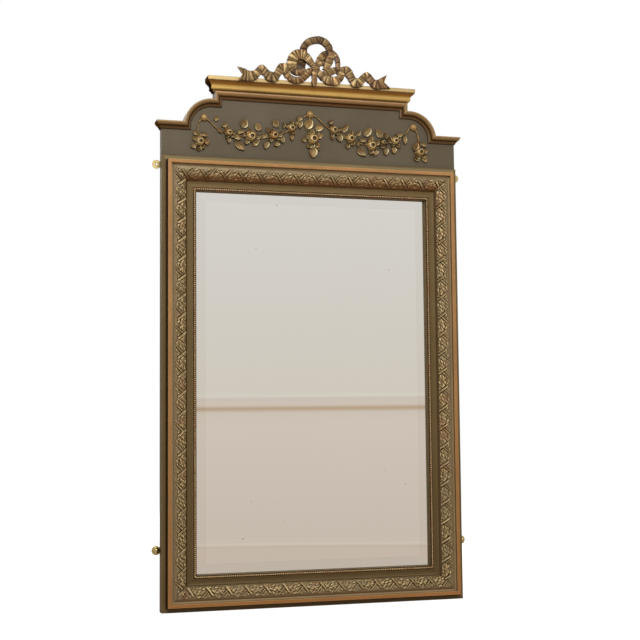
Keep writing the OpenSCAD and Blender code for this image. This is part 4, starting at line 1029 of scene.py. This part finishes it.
def floor():
    """A pale floor, which the camera sees as white outside the object's shadow. Its bounced light is
    warm, and rays off the glass pass through it."""
    half = 6.0
    mesh = bpy.data.meshes.new("studio_floor")
    corners = [(-half, -half, BOTTOM), (half, -half, BOTTOM), (half, half, BOTTOM), (-half, half, BOTTOM)]
    mesh.from_pydata(corners, [], [(0, 1, 2, 3)])
    piece = bpy.data.objects.new("studio_floor", mesh)
    bpy.context.scene.collection.objects.link(piece)
    paint = Paint("pale_floor")
    rays = paint.node("ShaderNodeLightPath").outputs
    seen = paint.node("ShaderNodeAddShader")
    paint.feed(seen.inputs[0], paint.shader("ShaderNodeBsdfDiffuse", (0.8, 0.8, 0.8, 1)))
    paint.feed(seen.inputs[1], paint.shader("ShaderNodeEmission", (1, 1, 1, 1), 0.75))
    bounced = paint.shader("ShaderNodeBsdfDiffuse", (0.5, 0.36, 0.22, 1))
    clear = paint.shader("ShaderNodeBsdfTransparent", (1, 1, 1, 1))
    shaded = paint.either(rays["Is Camera Ray"], bounced, seen.outputs[0])
    mesh.materials.append(paint.cover(paint.either(rays["Is Glossy Ray"], shaded, clear)))


def world():
    """White for the camera, a soft warm light on the object and the plain room in its reflections."""
    made = bpy.data.worlds.new("studio")
    bpy.context.scene.world = made
    made.use_nodes = True
    sky = Nodes(made.node_tree)
    rays = sky.node("ShaderNodeLightPath").outputs
    direction = sky.node("ShaderNodeTexCoord").outputs["Generated"]
    low, high = ROOM[0][0], ROOM[-1][0]
    place = sky.span(sky.part_of(direction, "Z"), low, high)
    stops = [((slope - low) / (high - low), colour) for slope, colour in ROOM]
    room = sky.shader("ShaderNodeBackground", sky.ramp(place, stops))
    ambient = sky.shader("ShaderNodeBackground", (1, 0.965, 0.9, 1), 0.36)
    white = sky.shader("ShaderNodeBackground", (1, 1, 1, 1))
    lighting = sky.either(rays["Is Glossy Ray"], ambient, room)
    output = sky.node("ShaderNodeOutputWorld")
    sky.feed(output.inputs["Surface"], sky.either(rays["Is Camera Ray"], lighting, white))


def lamp(name, place, target, size, power, colour):
    """A square area lamp, its size in metres and its power in watts."""
    data = bpy.data.lights.new(name, "AREA")
    data.size = size
    data.energy = power
    data.color = colour
    made = bpy.data.objects.new(name, data)
    bpy.context.scene.collection.objects.link(made)
    made.location = place
    made.rotation_euler = (Vector(target) - Vector(place)).to_track_quat("-Z", "Y").to_euler()


# The photograph's view, fitted to the frame's outline: the camera's place, its turns in degrees and
# its focal length in mm
CAMERA_PLACE = (-0.9348, -3.2349, -0.1811)
CAMERA_TURNS = (94.69, 0.5224, -16.449)
FOCAL_LENGTH = 72.13


def camera():
    data = bpy.data.cameras.new("camera")
    data.sensor_width = 36
    data.lens = FOCAL_LENGTH
    made = bpy.data.objects.new("camera", data)
    bpy.context.scene.collection.objects.link(made)
    made.location = CAMERA_PLACE
    made.rotation_euler = [math.radians(angle) for angle in CAMERA_TURNS]
    bpy.context.scene.camera = made


floor()
world()
lamp("key", (-0.5, -3.0, 2.3), (0, 0, 0.2), 1.2, 66, (1, 0.95, 0.86))
lamp("fill", (2.6, -2.2, 0.8), (0, 0, 0), 2.0, 7, (1, 0.96, 0.9))
lamp("back", (0, 3.2, 1.6), (0, 0, 0), 2.0, 45, (1, 0.97, 0.92))
camera()
bpy.context.scene.view_settings.view_transform = "Standard"
